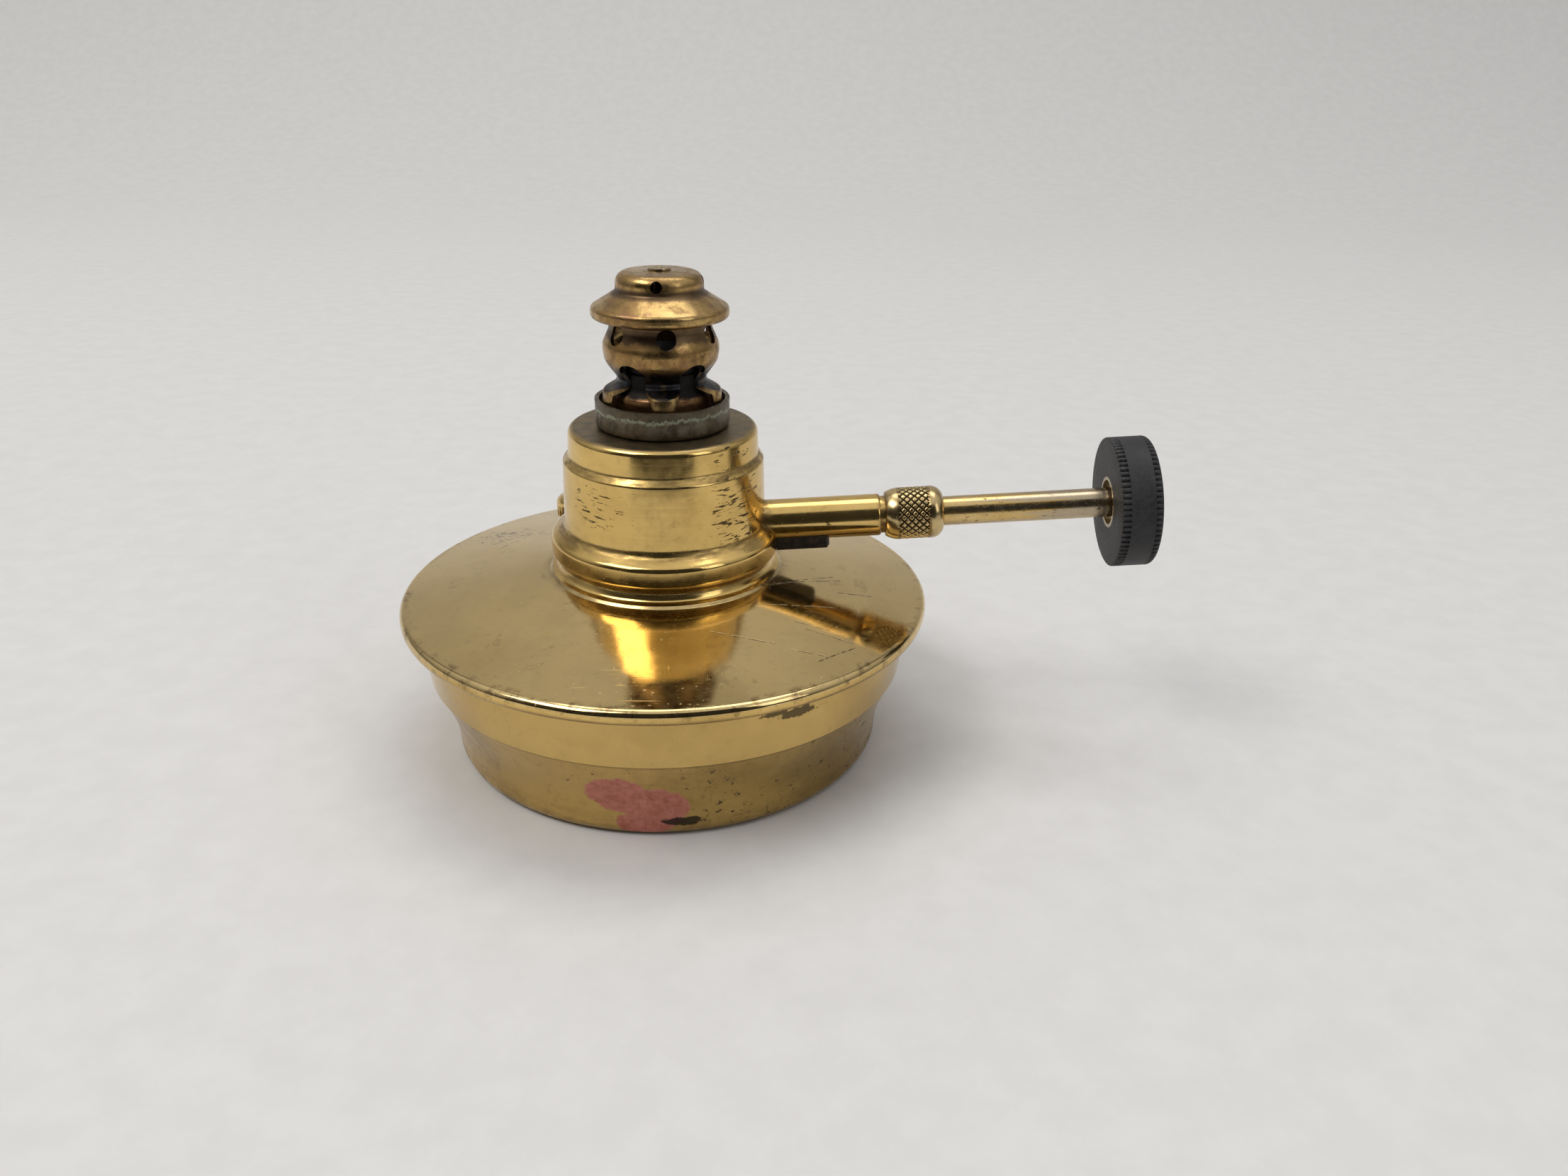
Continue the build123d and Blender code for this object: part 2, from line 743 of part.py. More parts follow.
with BuildPart() as knob_screw:
    with BuildSketch(spindle_plane.offset(head_start)):
        Circle(screw_head_radius)
    extrude(amount=screw_head_height)
    fillet(knob_screw.edges().sort_by(spindle_axis)[-1], radius=0.45)
    with BuildSketch(spindle_plane.offset(screw_reach)):
        Circle(screw_shank_radius)
    extrude(amount=screw_shank_length)
    with BuildSketch(spindle_plane.offset(head_start + screw_head_height - screw_slot_depth)):
        Rectangle(3 * screw_head_radius, screw_slot_width)
    extrude(amount=2 * screw_slot_depth, mode=Mode.SUBTRACT)
knob_screw.part.label = "knob_screw"
export_step(knob_screw.part, "parts/knob_screw.step")

# Filler: a flanged neck pushed up through the tank, a washer and a knurled cap
flange_base = -sheet - filler_flange_drop - filler_flange_thickness
with BuildPart() as filler_neck:
    with BuildSketch(filler_plane.offset(flange_base)):
        Circle(filler_flange_radius)
    extrude(amount=filler_flange_thickness)
    with BuildSketch(filler_plane.offset(flange_base)):
        Circle(filler_neck_radius)
    extrude(amount=filler_neck_height - flange_base)
    with BuildSketch(filler_plane.offset(flange_base)):
        Circle(filler_bore_radius)
    extrude(amount=filler_neck_height - flange_base, mode=Mode.SUBTRACT)
filler_neck.part.label = "filler_neck"
export_step(filler_neck.part, "parts/filler_neck.step")

washer_start = filler_neck_height + seat_gap
cap_ceiling = washer_start + filler_washer_thickness + seat_gap
with BuildPart() as filler_washer:
    with BuildSketch(filler_plane.offset(washer_start)):
        Circle(filler_neck_radius - running_fit)
        Circle(filler_bore_radius + running_fit, mode=Mode.SUBTRACT)
    extrude(amount=filler_washer_thickness)
filler_washer.part.label = "filler_washer"
export_step(filler_washer.part, "parts/filler_washer.step")

with BuildPart() as filler_cap:
    with BuildSketch(filler_plane.offset(cap_lift)):
        Circle(cap_outer_radius)
    extrude(amount=cap_ceiling + cap_crown - cap_lift)
    fillet(filler_cap.edges().sort_by(Axis.Z)[-1], radius=cap_edge_radius)
    with BuildSketch(filler_plane.offset(cap_lift)):
        Circle(filler_neck_radius + running_fit)
    extrude(amount=cap_ceiling - cap_lift, mode=Mode.SUBTRACT)
    with BuildSketch(filler_plane.offset(cap_lift)):
        with PolarLocations(cap_outer_radius, cap_grip_count):
            Rectangle(cap_grip_side, cap_grip_side, rotation=45)
    extrude(amount=cap_grip_height, mode=Mode.SUBTRACT)
filler_cap.part.label = "filler_cap"
export_step(filler_cap.part, "parts/filler_cap.step")
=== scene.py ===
from math import atan2, ceil, cos, degrees, hypot, pi, radians, sin, sqrt, tan

import bmesh
import bpy
from mathutils import Matrix, Vector


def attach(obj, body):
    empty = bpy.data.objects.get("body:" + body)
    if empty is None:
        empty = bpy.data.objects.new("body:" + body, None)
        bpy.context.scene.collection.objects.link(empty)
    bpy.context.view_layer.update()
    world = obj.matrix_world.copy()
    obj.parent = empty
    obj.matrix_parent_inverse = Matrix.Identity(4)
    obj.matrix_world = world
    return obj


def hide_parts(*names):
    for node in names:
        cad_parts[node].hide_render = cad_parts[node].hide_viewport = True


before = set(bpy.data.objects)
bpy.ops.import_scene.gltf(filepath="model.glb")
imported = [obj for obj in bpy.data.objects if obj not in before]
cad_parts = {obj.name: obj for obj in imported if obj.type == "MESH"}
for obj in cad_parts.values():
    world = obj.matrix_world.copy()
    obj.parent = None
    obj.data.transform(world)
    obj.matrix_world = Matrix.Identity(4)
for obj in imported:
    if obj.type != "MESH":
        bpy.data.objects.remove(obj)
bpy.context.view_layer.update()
MM = 0.001

# ---- sizes in mm, named as in the solids; every height is above the table ----

FIT = 0.05  # play of a shaft or a cap in its seat
GAP = 0.02  # face left between soldered or clamped pieces
SHEET = 0.7  # wall of the tank and of the column cover

SEAM_RADIUS, SEAM_HEIGHT, SEAM_GAP = 46.4, 17.2, 0.2
PAN_FOOT_RADIUS, PAN_FLARE_RADIUS = SEAM_RADIUS - 4.5, SEAM_RADIUS - 0.4
PAN_WAIST_RADIUS, PAN_WAIST_HEIGHT = PAN_FOOT_RADIUS + 0.4, 8.0
PAN_EDGE = SEAM_HEIGHT - SEAM_GAP
LAP_RADIUS, LAP_HEIGHT = SEAM_RADIUS - SHEET - FIT, 4.0
SKIRT_RADIUS, SKIRT_HEIGHT, SKIRT_SWELL = SEAM_RADIUS + 0.9, 27.2, 0.12
RIM_RADIUS, RIM_HEIGHT, RIM_BEAD = SKIRT_RADIUS + 3.5, 30.2, 2.6
SEAT_RADIUS, SEAT_HEIGHT, SEAT_STEP = 21.9, 35.5, 0.5
CONE_RADIUS, CONE_HEIGHT = SEAT_RADIUS + SEAT_STEP, SEAT_HEIGHT - SEAT_STEP
CONE_FALL = (CONE_HEIGHT - RIM_HEIGHT) / (RIM_RADIUS - CONE_RADIUS)
WICK_TUBE_RADIUS = 7.5

FOOT_FLARE = [(20.9, 35.75), (20.15, 37.3)]
COLLAR_RADIUS, COLLAR_BOTTOM, COLLAR_TOP = 21.75, 39.0, 42.3
BARREL_RADIUS, BARREL_BOTTOM = 19.2, 44.0
BARREL_TOP_RADIUS, BARREL_TOP = 18.8, 56.6
STEP_RADIUS, STEP_BOTTOM = 17.8, 57.9
COLUMN_TOP_RADIUS, COLUMN_TOP = 17.6, 62.9
MOUTH_RADIUS = 11.0

SHANK_HOLE = 2.6 + FIT  # for the jet's shank, through the floors of cup and core
CUP_WALL, CUP_RADIUS, CUP_HEIGHT = 0.8, 12.4, 5.2
CORE_WALL, CORE_FLOOR = 0.6, COLUMN_TOP + CUP_WALL + 2 * GAP
CORE_BAND_RADIUS, CORE_BAND_TOP = 8.8, 69.2
CORE_NECK_RADIUS, CORE_NECK_HEIGHT, CORE_TOP = 7.55, 70.6, 73.4

HEAD_WALL, HEAD_TOP = 0.6, 91.0
CROWN_RADIUS, CROWN_EDGE, CROWN_BOTTOM = 7.9, HEAD_TOP - 0.3, 87.5
BRIM_RADIUS, BRIM_TOP, BRIM_BOTTOM = 12.43, 84.7, 82.85
THROAT_RADIUS, THROAT_TOP, THROAT_BOTTOM = 9.3, 82.4, 80.9
BULB_RADIUS, BULB_HEIGHT = 10.65, 78.0
BULB_LOWER_RADIUS, BULB_LOWER_HEIGHT = 10.35, 75.3
WAIST_RADIUS = CORE_NECK_RADIUS + FIT + HEAD_WALL
WAIST_TOP, WAIST_BOTTOM = 72.3, 71.4
PETAL_SHOULDER_RADIUS, PETAL_SHOULDER_HEIGHT = 10.95, 70.2
PETAL_TIP_RADIUS, PETAL_TIP_HEIGHT = 11.2, 68.15
LEGS, LEG_HALF_WIDTH, LEG_AZIMUTH = 5, 6.1 / 2, 7.3
LEG_REACH = PETAL_TIP_RADIUS - LEG_HALF_WIDTH
ARCH_HALF_WIDTH, ARCH_RISE, ARCH_SPRING = 2.6, 1.9, BULB_LOWER_HEIGHT - 1.4
THROAT_HOLES, THROAT_HOLE_RADIUS, THROAT_HOLE_HEIGHT, THROAT_HOLE_AZIMUTH = 6, 1.75, 80.5, 12.0
CROWN_HOLES, CROWN_HOLE_RADIUS, CROWN_HOLE_HEIGHT, CROWN_HOLE_AZIMUTH = 4, 1.05, 89.1, 1.7
EYELET_RADIUS, EYELET_STEM, EYELET_BORE, EYELET_FLANGE = 2.1, 1.2, 0.6, 0.4
EYELET_BOTTOM, EYELET_TOP = 87.28, HEAD_TOP + GAP + EYELET_FLANGE

SPINDLE_HEIGHT, SPINDLE_RISE = 42.5, radians(4.4)
TUBE_RADIUS, TUBE_SOCKET, TUBE_SHOULDER = 4.0, 6.6, 41.4  # from here on, along the spindle
TUBE_NOSE_RADIUS, TUBE_END = 3.55, 49.02
ROD_RADIUS, ROD_NOSE_RADIUS, ROD_NOSE_START, ROD_NOSE_END = 2.8, 1.9, 7.6, 12.4
ROD_TAIL_RADIUS, NEEDLE_HOLE_RADIUS, NEEDLE_HOLE_END = 2.0, 0.9 + FIT, 11.48
SCREW_HOLE_RADIUS, SCREW_HOLE_START = 1.0 + FIT, 86.6
NUT_START, NUT_END, NUT_FLOOR = 42.3, 53.4, 2.2
NUT_RADIUS, NUT_END_RADIUS, NUT_NOSE_RADIUS = 4.95, 4.15, 3.3
GRIP_START, GRIP_END = NUT_START + 2.5, NUT_START + 8.2
KNURLS, KNURL_PITCH, KNURL_DEPTH = 21, 1 / 0.70, 0.40
KNOB_RADIUS, KNOB_START, KNOB_END = 12.3, 84.8, 92.3
KNOB_EDGE, NOTCHES, NOTCH_DEPTH, NOTCH_LENGTH = 1.0, 72, 0.42, 1.5
BUSH_RADIUS, BUSH_RECESS, BUSH_FLOOR, BUSH_END = 4.9, 4.2, KNOB_START + 0.8, KNOB_END - 1.2
SCREW_START, SCREW_HEIGHT, SCREW_RADIUS = BUSH_END + GAP, 1.1, 3.4
SLOT_HALF_WIDTH, SLOT_DEPTH = 0.4, 0.6

FILLER_RADIUS, FILLER_ANGLE = RIM_RADIUS - 11.35, radians(120.5)
FILLER_NECK_RADIUS = 6.2
CAP_RADIUS, CAP_EDGE, CAP_LIFT = 7.5, 2.0, 0.35  # from here on, above the cone at the filler
CAP_TOP, CAP_CEILING, CAP_GRIP_TOP = 4.89, 4.04, 2.66
CAP_GROOVES, CAP_GROOVE_DEPTH = 36, 0.32


# ---- shapes: sheet profiles, lathes and cutters, in millimetres ----


def rounded(points, radii, step=9.0):
    """Polyline through points (radius, height) with its inner corners rounded."""
    path = [Vector(points[0])]
    for a, b, c, radius in zip(points, points[1:], points[2:], radii):
        a, b, c = Vector(a), Vector(b), Vector(c)
        u, v = (a - b).normalized(), (c - b).normalized()
        turn = pi - u.angle(v)
        if radius < 0.01 or turn < 0.002:
            path.append(b)
            continue
        reach = radius * tan(turn / 2)
        centre = b + (u + v).normalized() * (radius / cos(turn / 2))
        start, count = b + u * reach - centre, max(2, ceil(degrees(turn) / step))
        sign = 1 if u.x * v.y - u.y * v.x < 0 else -1
        for i in range(count + 1):
            t = sign * turn * i / count
            path.append(centre + Vector((start.x * cos(t) - start.y * sin(t),
                                         start.x * sin(t) + start.y * cos(t))))
    path.append(Vector(points[-1]))
    return path


def sheet_profile(points, radii, wall, side, step=9.0):
    """Closed outline of a bent sheet: the rounded polyline and the same offset by the wall."""
    pts = [Vector(p) for p in points]
    dirs = [(b - a).normalized() for a, b in zip(pts, pts[1:])]
    normals = [Vector((-d.y, d.x)) * side for d in dirs]
    inner, inner_radii = [pts[0] + normals[0] * wall], []
    for i, radius in zip(range(1, len(pts) - 1), radii):
        n = (normals[i - 1] + normals[i]).normalized()
        inner.append(pts[i] + n * (wall / max(0.2, n.dot(normals[i]))))
        cross = dirs[i - 1].x * dirs[i].y - dirs[i - 1].y * dirs[i].x
        outside = radius + wall if radius else 0.0
        inner_radii.append(max(0.0, radius - wall if cross * side > 0 else outside))
    inner.append(pts[-1] + normals[-1] * wall)
    return rounded(points, radii, step) + rounded(inner, inner_radii, step)[::-1]


def placed(name, verts, faces, body, at=None, sharp=38.0):
    """Mesh object from vertices in mm, riding on a body."""
    mesh = bpy.data.meshes.new(name)
    mesh.from_pydata([Vector(v) * MM for v in verts], [], faces)
    bm = bmesh.new()
    bm.from_mesh(mesh)
    bmesh.ops.remove_doubles(bm, verts=bm.verts, dist=1e-7)
    bmesh.ops.recalc_face_normals(bm, faces=bm.faces)
    bm.to_mesh(mesh)
    bm.free()
    mesh.polygons.foreach_set("use_smooth", [True] * len(mesh.polygons))
    mesh.set_sharp_from_angle(angle=radians(sharp))
    obj = bpy.data.objects.new(name, mesh)
    bpy.context.scene.collection.objects.link(obj)
    if at is not None:
        obj.matrix_world = at
    if body:
        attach(obj, body)
    return obj


def lathe_data(loop, segments, bend=None):
    """Vertices and faces of a closed outline turned round local Z. bend changes a radius."""
    verts, faces, rows = [], [], []
    for r, z in loop:
        row = []
        if r < 1e-4:
            row = [len(verts)] * segments
            verts.append((0, 0, z))
        else:
            for i in range(segments):
                t = 2 * pi * i / segments
                rr = bend(r, z, t) if bend else r
                row.append(len(verts))
                verts.append((rr * cos(t), rr * sin(t), z))
        rows.append(row)
    for a, b in zip(rows, rows[1:] + rows[:1]):
        for i in range(segments):
            j = (i + 1) % segments
            face = []
            for v in (a[i], a[j], b[j], b[i]):
                if v not in face:
                    face.append(v)
            if len(face) > 2:
                faces.append(face)
    return verts, faces


def lathe(name, loop, body, segments=192, at=None, bend=None, sharp=38.0):
    """A turned piece."""
    verts, faces = lathe_data(loop, segments, bend)
    return placed(name, verts, faces, body, at, sharp)


def prism_data(outline, depth_start, depth_end, at):
    """Vertices and faces of an outline pushed along local Z of a 4x4 place, in mm."""
    n = len(outline)
    verts = [at @ Vector((x, y, d)) for d in (depth_start, depth_end) for x, y in outline]
    faces = [[i, (i + 1) % n, n + (i + 1) % n, n + i] for i in range(n)]
    return verts, faces + [list(range(n))[::-1], list(range(n, 2 * n))]


def join_data(parts):
    """Several (vertices, faces) as one."""
    verts, faces = [], []
    for v, f in parts:
        base = len(verts)
        verts += v
        faces += [[i + base for i in face] for face in f]
    return verts, faces


def cut(obj, data, sharp=38.0):
    """Takes the solid of data (vertices, faces in mm, row frame) out of obj, for good."""
    tool = placed("cutter", *data, None)
    mod = obj.modifiers.new("cut", "BOOLEAN")
    mod.operation, mod.solver, mod.object = "DIFFERENCE", "EXACT", tool
    bpy.context.view_layer.update()
    evaluated = obj.evaluated_get(bpy.context.evaluated_depsgraph_get())
    mesh = bpy.data.meshes.new_from_object(evaluated)
    obj.modifiers.clear()
    obj.data = mesh
    bpy.data.objects.remove(tool)
    mesh.polygons.foreach_set("use_smooth", [True] * len(mesh.polygons))
    mesh.set_sharp_from_angle(angle=radians(sharp))


def place(origin, x, z):
    """4x4 with local X and Z along the given directions."""
    z = Vector(z).normalized()
    x = (Vector(x) - z * z.dot(Vector(x))).normalized()
    m = Matrix((x, z.cross(x), z)).transposed().to_4x4()
    m.translation = Vector(origin)
    return m


def in_metres(m):
    """The same place with its origin in metres."""
    scaled = m.copy()
    scaled.translation = m.translation * MM
    return scaled


def compass(azimuth, height):
    """Place whose local Z looks out at an azimuth from -Y towards +X."""
    t = radians(azimuth)
    return place((0, 0, height), (cos(t), sin(t), 0), (sin(t), -cos(t), 0))


def circle(radius, count=32):
    turns = [2 * pi * i / count for i in range(count)]
    return [(radius * cos(t), radius * sin(t)) for t in turns]


def corner(r, z, radius, angles):
    """Points round a corner whose centre is (r, z), at angles in degrees above the outward radius."""
    return [(r + radius * cos(radians(a)), z + radius * sin(radians(a))) for a in angles]


def arc_through(a, b, c, count=8):
    """Points of the arc from a to c by way of b."""
    ax, ay, bx, by, cx, cy = *a, *b, *c
    aa, bb, cc = ax * ax + ay * ay, bx * bx + by * by, cx * cx + cy * cy
    d = 2 * (ax * (by - cy) + bx * (cy - ay) + cx * (ay - by))
    ux = (aa * (by - cy) + bb * (cy - ay) + cc * (ay - by)) / d
    uy = (aa * (cx - bx) + bb * (ax - cx) + cc * (bx - ax)) / d
    r, t0, t1 = hypot(ax - ux, ay - uy), atan2(ay - uy, ax - ux), atan2(cy - uy, cx - ux)
    if t1 - t0 > pi:
        t1 -= 2 * pi
    if t0 - t1 > pi:
        t1 += 2 * pi
    turns = [t0 + (t1 - t0) * i / count for i in range(count + 1)]
    return [(ux + r * cos(t), uy + r * sin(t)) for t in turns]


spindle = place((0, 0, SPINDLE_HEIGHT), (0, 1, 0), (cos(SPINDLE_RISE), 0, sin(SPINDLE_RISE)))
outward = Vector((cos(FILLER_ANGLE), sin(FILLER_ANGLE), 0))
filler_foot = CONE_HEIGHT - CONE_FALL * (FILLER_RADIUS - CONE_RADIUS)
filler = place(outward * FILLER_RADIUS + Vector((0, 0, filler_foot)), (-outward.y, outward.x, 0),
               outward * CONE_FALL + Vector((0, 0, 1)))
spindle_m, filler_m = in_metres(spindle), in_metres(filler)

# ---- materials ----


class Nodes:
    """Short calls for adding nodes to a tree."""

    def __init__(self, tree):
        self.tree = tree
        tree.nodes.clear()

    def fill(self, n, key, value):
        """Links a socket to an input, or sets the input to a constant."""
        if isinstance(value, bpy.types.NodeSocket):
            self.tree.links.new(value, n.inputs[key])
        else:
            n.inputs[key].default_value = value

    def node(self, kind, inputs=None, **fields):
        n = self.tree.nodes.new(kind)
        for k, v in fields.items():
            setattr(n, k, v)
        for k, v in (inputs or {}).items():
            self.fill(n, k, v)
        return n

    def math(self, op, a, b=0.0, c=0.0, clamp=False):
        n = self.node("ShaderNodeMath", {0: a, 1: b, 2: c}, operation=op, use_clamp=clamp)
        return n.outputs[0]

    def plus(self, a, b):
        return self.math("ADD", a, b)

    def minus(self, a, b):
        return self.math("SUBTRACT", a, b)

    def times(self, value, *factors):
        for factor in factors:
            value = self.math("MULTIPLY", value, factor)
        return value

    def most(self, value, *others):
        for other in others:
            value = self.math("MAXIMUM", value, other)
        return value

    def span(self, value, low, high, a=0.0, b=1.0, smooth=True):
        """a at low to b at high, held beyond both."""
        n = self.node("ShaderNodeMapRange", {0: value, 1: low, 2: high, 3: a, 4: b}, clamp=True,
                      interpolation_type="SMOOTHSTEP" if smooth else "LINEAR")
        return n.outputs[0]

    def mix(self, fac, a, b):
        n = self.node("ShaderNodeMix", {0: fac}, data_type="RGBA")
        for key, v in ((6, a), (7, b)):
            self.fill(n, key, (*v, 1.0) if isinstance(v, tuple) else v)
        return n.outputs[2]


class Paint(Nodes):
    """One material, with the object's coordinates in mm: x, y, z, r and turn round local Z."""

    def __init__(self, name, metallic=1.0):
        self.mat = bpy.data.materials.new(name)
        self.mat.use_nodes = True
        super().__init__(self.mat.node_tree)
        self.bsdf = self.node("ShaderNodeBsdfPrincipled", {"Metallic": metallic})
        self.node("ShaderNodeOutputMaterial", {0: self.bsdf.outputs[0]})
        coord = self.node("ShaderNodeTexCoord")
        self.mm = self.vector("SCALE", coord.outputs["Object"], scale=1 / MM)
        self.x, self.y, self.z = self.node("ShaderNodeSeparateXYZ", {"Vector": self.mm}).outputs
        squares = self.plus(self.times(self.x, self.x), self.times(self.y, self.y))
        self.r = self.math("SQRT", squares)
        self.turn = self.math("ARCTAN2", self.x, self.times(self.y, -1.0))

    def vector(self, op, a, b=(0, 0, 0), scale=1.0):
        n = self.node("ShaderNodeVectorMath", {0: a, 1: b, 3: scale}, operation=op)
        return n.outputs[0]

    def xyz(self, x, y, z):
        return self.node("ShaderNodeCombineXYZ", {0: x, 1: y, 2: z}).outputs[0]

    def stretch(self, sx, sy, sz):
        """The coordinates in mm times a factor each."""
        return self.vector("MULTIPLY", self.mm, (sx, sy, sz))

    def ring(self, along, radial, axial):
        """Coordinates round the axis: turn in mm at radius 20, radius, and height."""
        return self.xyz(self.times(self.turn, along * 20.0), self.times(self.r, radial),
                        self.times(self.z, axial))

    def noise(self, where, scale=1.0, detail=3.0, rough=0.55, distort=0.0):
        return self.node("ShaderNodeTexNoise", {"Vector": where, "Scale": scale, "Detail": detail,
                                                "Roughness": rough, "Distortion": distort}).outputs[0]

    def clouds(self, noise, low, high, a=0.0, b=1.0, where=None):
        """Noise of (scale, detail, roughness, distortion), spread from low to high."""
        return self.span(self.noise(where or self.mm, *noise), low, high, a, b)

    def shake(self, noise, reach, where=None):
        """The same noise about 0, times reach."""
        return self.times(self.minus(self.noise(where or self.mm, *noise), 0.5), reach)

    def band(self, value, centre, half, soft):
        """1 inside centre +- half, falling to 0 over soft."""
        away = self.math("ABSOLUTE", self.minus(value, centre))
        return self.span(away, half, half + soft, 1.0, 0.0)

    def spot(self, x, y, z, rx, ry, rz, ragged=0.35, scale=0.5, soft=0.15):
        """A ragged patch round a point, in mm."""
        away = self.vector("DIVIDE", self.vector("SUBTRACT", self.mm, (x, y, z)), (rx, ry, rz))
        length = self.node("ShaderNodeVectorMath", {0: away}, operation="LENGTH").outputs[1]
        length = self.plus(length, self.shake((scale, 5.0, 0.65), ragged * 3.0))
        return self.span(length, 1.0 - soft, 1.0 + soft, 1.0, 0.0)

    def spots(self, places, *look):
        return self.most(*(self.spot(*where, *look) for where in places))

    def finish(self, colour, rough, heights=(), metallic=None):
        """Fills colour and roughness, and bumps given as (height, strength, distance mm)."""
        self.fill(self.bsdf, "Base Color", colour)
        self.fill(self.bsdf, "Roughness", rough)
        if metallic is not None:
            self.fill(self.bsdf, "Metallic", metallic)
        normal = None
        for height, strength, distance in heights:
            bump = self.node("ShaderNodeBump", {"Height": height, "Strength": strength,
                                                "Distance": distance * MM})
            if normal:
                self.fill(bump, "Normal", normal)
            normal = bump.outputs[0]
        if normal:
            self.fill(self.bsdf, "Normal", normal)
        return self.mat


GOLD, DEEP = (0.78, 0.54, 0.19), (0.60, 0.40, 0.13)
BROWN, SOOT = (0.17, 0.11, 0.05), (0.025, 0.022, 0.02)


def brass(name, base=GOLD, deep=DEEP, rough=(0.10, 0.22), tarnish=0.35, streaks=0.5, waves=0.25,
          extra=None):
    """Handled brass: spun streaks, cloudy tarnish, hairline scratches and slow waves."""
    p = Paint(name)
    cloud = p.noise(p.mm, 0.045, 4.0, 0.6, 0.6)
    fine = p.noise(p.mm, 0.55, 5.0, 0.65)
    spun = p.noise(p.ring(0.012, 2.4, 2.4), 1.0, 4.0, 0.7)
    hairline = p.most(p.clouds((1.0, 2.0, 0.5, 0.25), 0.70, 0.745, where=p.stretch(0.05, 1.9, 1.9)),
                      p.clouds((1.0, 2.0, 0.5, 0.3), 0.71, 0.755, where=p.stretch(1.7, 0.06, 1.2)))
    specks = p.times(p.clouds((1.3, 3.0, 0.6), 0.66, 0.72), p.span(cloud, 0.36, 0.56))
    colour = p.mix(p.span(cloud, 0.35, 0.68), base, deep)
    colour = p.mix(p.times(p.span(spun, 0.45, 0.75), 0.25 * streaks), colour, deep)
    colour = p.mix(p.times(p.span(fine, 0.52, 0.8), tarnish), colour, BROWN)
    colour = p.mix(p.times(specks, 0.75 * tarnish), colour, SOOT)
    texture = p.plus(p.times(fine, 0.6), p.times(spun, 0.4))
    roughness = p.plus(p.span(texture, 0.3, 0.7, *rough), p.times(specks, 0.3))
    heights = [(p.noise(p.mm, 0.06, 2.0, 0.4), waves, 1.6), (spun, 0.10 * streaks, 0.05),
               (p.minus(1.0, hairline), 0.11, 0.05)]
    if extra:
        colour, roughness, more = extra(p, colour, roughness)
        heights += more
    return p.finish(colour, roughness, heights)


def scratch_set(p, lines, width=0.16, ragged=0.5):
    """Dark nicks: lines given as x0, y0, x1, y1 in mm on the plan, broken up on their way."""
    wobble = p.shake((0.5, 3.0, 0.6), ragged)
    strokes = []
    for x0, y0, x1, y1 in lines:
        dx, dy = x1 - x0, y1 - y0
        length = hypot(dx, dy)
        ux, uy = dx / length, dy / length
        px, py = p.minus(p.x, (x0 + x1) / 2), p.minus(p.y, (y0 + y1) / 2)
        along = p.math("ABSOLUTE", p.plus(p.times(px, ux), p.times(py, uy)))
        across = p.plus(p.minus(p.times(px, uy), p.times(py, ux)), wobble)
        stroke = p.span(p.math("ABSOLUTE", across), width * 0.5, width, 1.0, 0.0)
        ends = p.span(along, length / 2 - 0.8, length / 2, 1.0, 0.0)
        strokes.append(p.times(stroke, ends))
    return p.times(p.most(*strokes), p.clouds((0.9, 3.0, 0.6), 0.42, 0.5))


CONE_NICKS = [(20, -10, 33, -2), (21.5, -9, 35, -3), (18, -18, 33, -15), (25, -22, 33, -24),
              (27, -24, 36, -27), (24, -31, 31, -32), (10, -28, 22, -30), (33, -9, 41, -8),
              (-38, 14, -30, 20), (-36, 10, -31, 17), (29, -34, 36, -28), (16, -13, 24, -8)]
SKIRT_NICKS = [(26.0, -39.5, 24.6, 3.4, 6, 0.9), (22.0, -42.0, 25.4, 2.6, 5, 0.5)]


def tank_extra(p, colour, rough):
    """A cone painted paler and a side wall painted darker, as painted sheen and painted shade;
    painted shade under the rim bead and round the column's foot; grime on the rim.
    """
    # the cone's top is painted paler as a painted sheen, and the skirt below the rim darker as
    # painted shade
    top, skirt_shade = p.span(p.z, 28.9, 29.6), p.span(p.z, 27.8, 27.0)
    # painted shade under the rim bead: a dark band at the top of the skirt, broken up by noise
    under_rim_shade = p.times(p.band(p.z, 27.5, 0.5, 0.9),
                       p.clouds((1.0, 4.0), 0.3, 0.6, where=p.ring(0.25, 1, 1)))
    edge = p.times(p.band(p.r, 50.0, 0.5, 1.2), p.clouds((0.35, 5.0, 0.7), 0.5, 0.66))
    stains = p.times(top, p.clouds((0.16, 4.0, 0.7, 1.2), 0.60, 0.70))
    # painted shade round the column's foot: a dark ring on the cone, broken up by noise
    foot = p.times(p.span(p.r, 21.0, 24.5, 1.0, 0.0), p.clouds((0.3, 4.0), 0.3, 0.7, 0.4, 1.0))
    nicks = p.times(scratch_set(p, CONE_NICKS), top)
    pit = p.times(top, p.spot(-36, 20, 31, 7, 5, 6, 0.7, 0.45), p.clouds((0.9, 4.0, 0.7), 0.54, 0.6))
    # painted sheen: the cone painted paler
    colour = p.mix(p.times(top, 0.5), colour, (0.70, 0.56, 0.31))
    # painted shade: the skirt painted darker
    colour = p.mix(p.times(skirt_shade, 0.6), colour, (0.46, 0.31, 0.11))
    colour = p.mix(p.times(stains, 0.28), colour, BROWN)
    # painted shade round the column's foot
    colour = p.mix(p.times(foot, 0.7), colour, (0.16, 0.10, 0.04))
    # painted shade under the rim bead, and grime on the rim's edge
    colour = p.mix(p.times(p.most(under_rim_shade, edge), 0.7), colour, BROWN)
    colour = p.mix(p.times(p.most(nicks, pit), 0.85), colour, SOOT)
    colour = p.mix(p.times(p.spots(SKIRT_NICKS, 0.7, 0.9), 0.8), colour, SOOT)
    rough = p.plus(rough, p.times(p.most(foot, under_rim_shade), 0.2))
    return colour, rough, [(p.minus(1.0, nicks), 0.4, 0.06)]


PINK_PATCH = [(-5.2, -42, 9.6, 5.4, 14, 4.2), (1.6, -42, 6.8, 5.8, 14, 4.4),
              (-0.5, -42, 3.0, 5.0, 12, 2.4)]


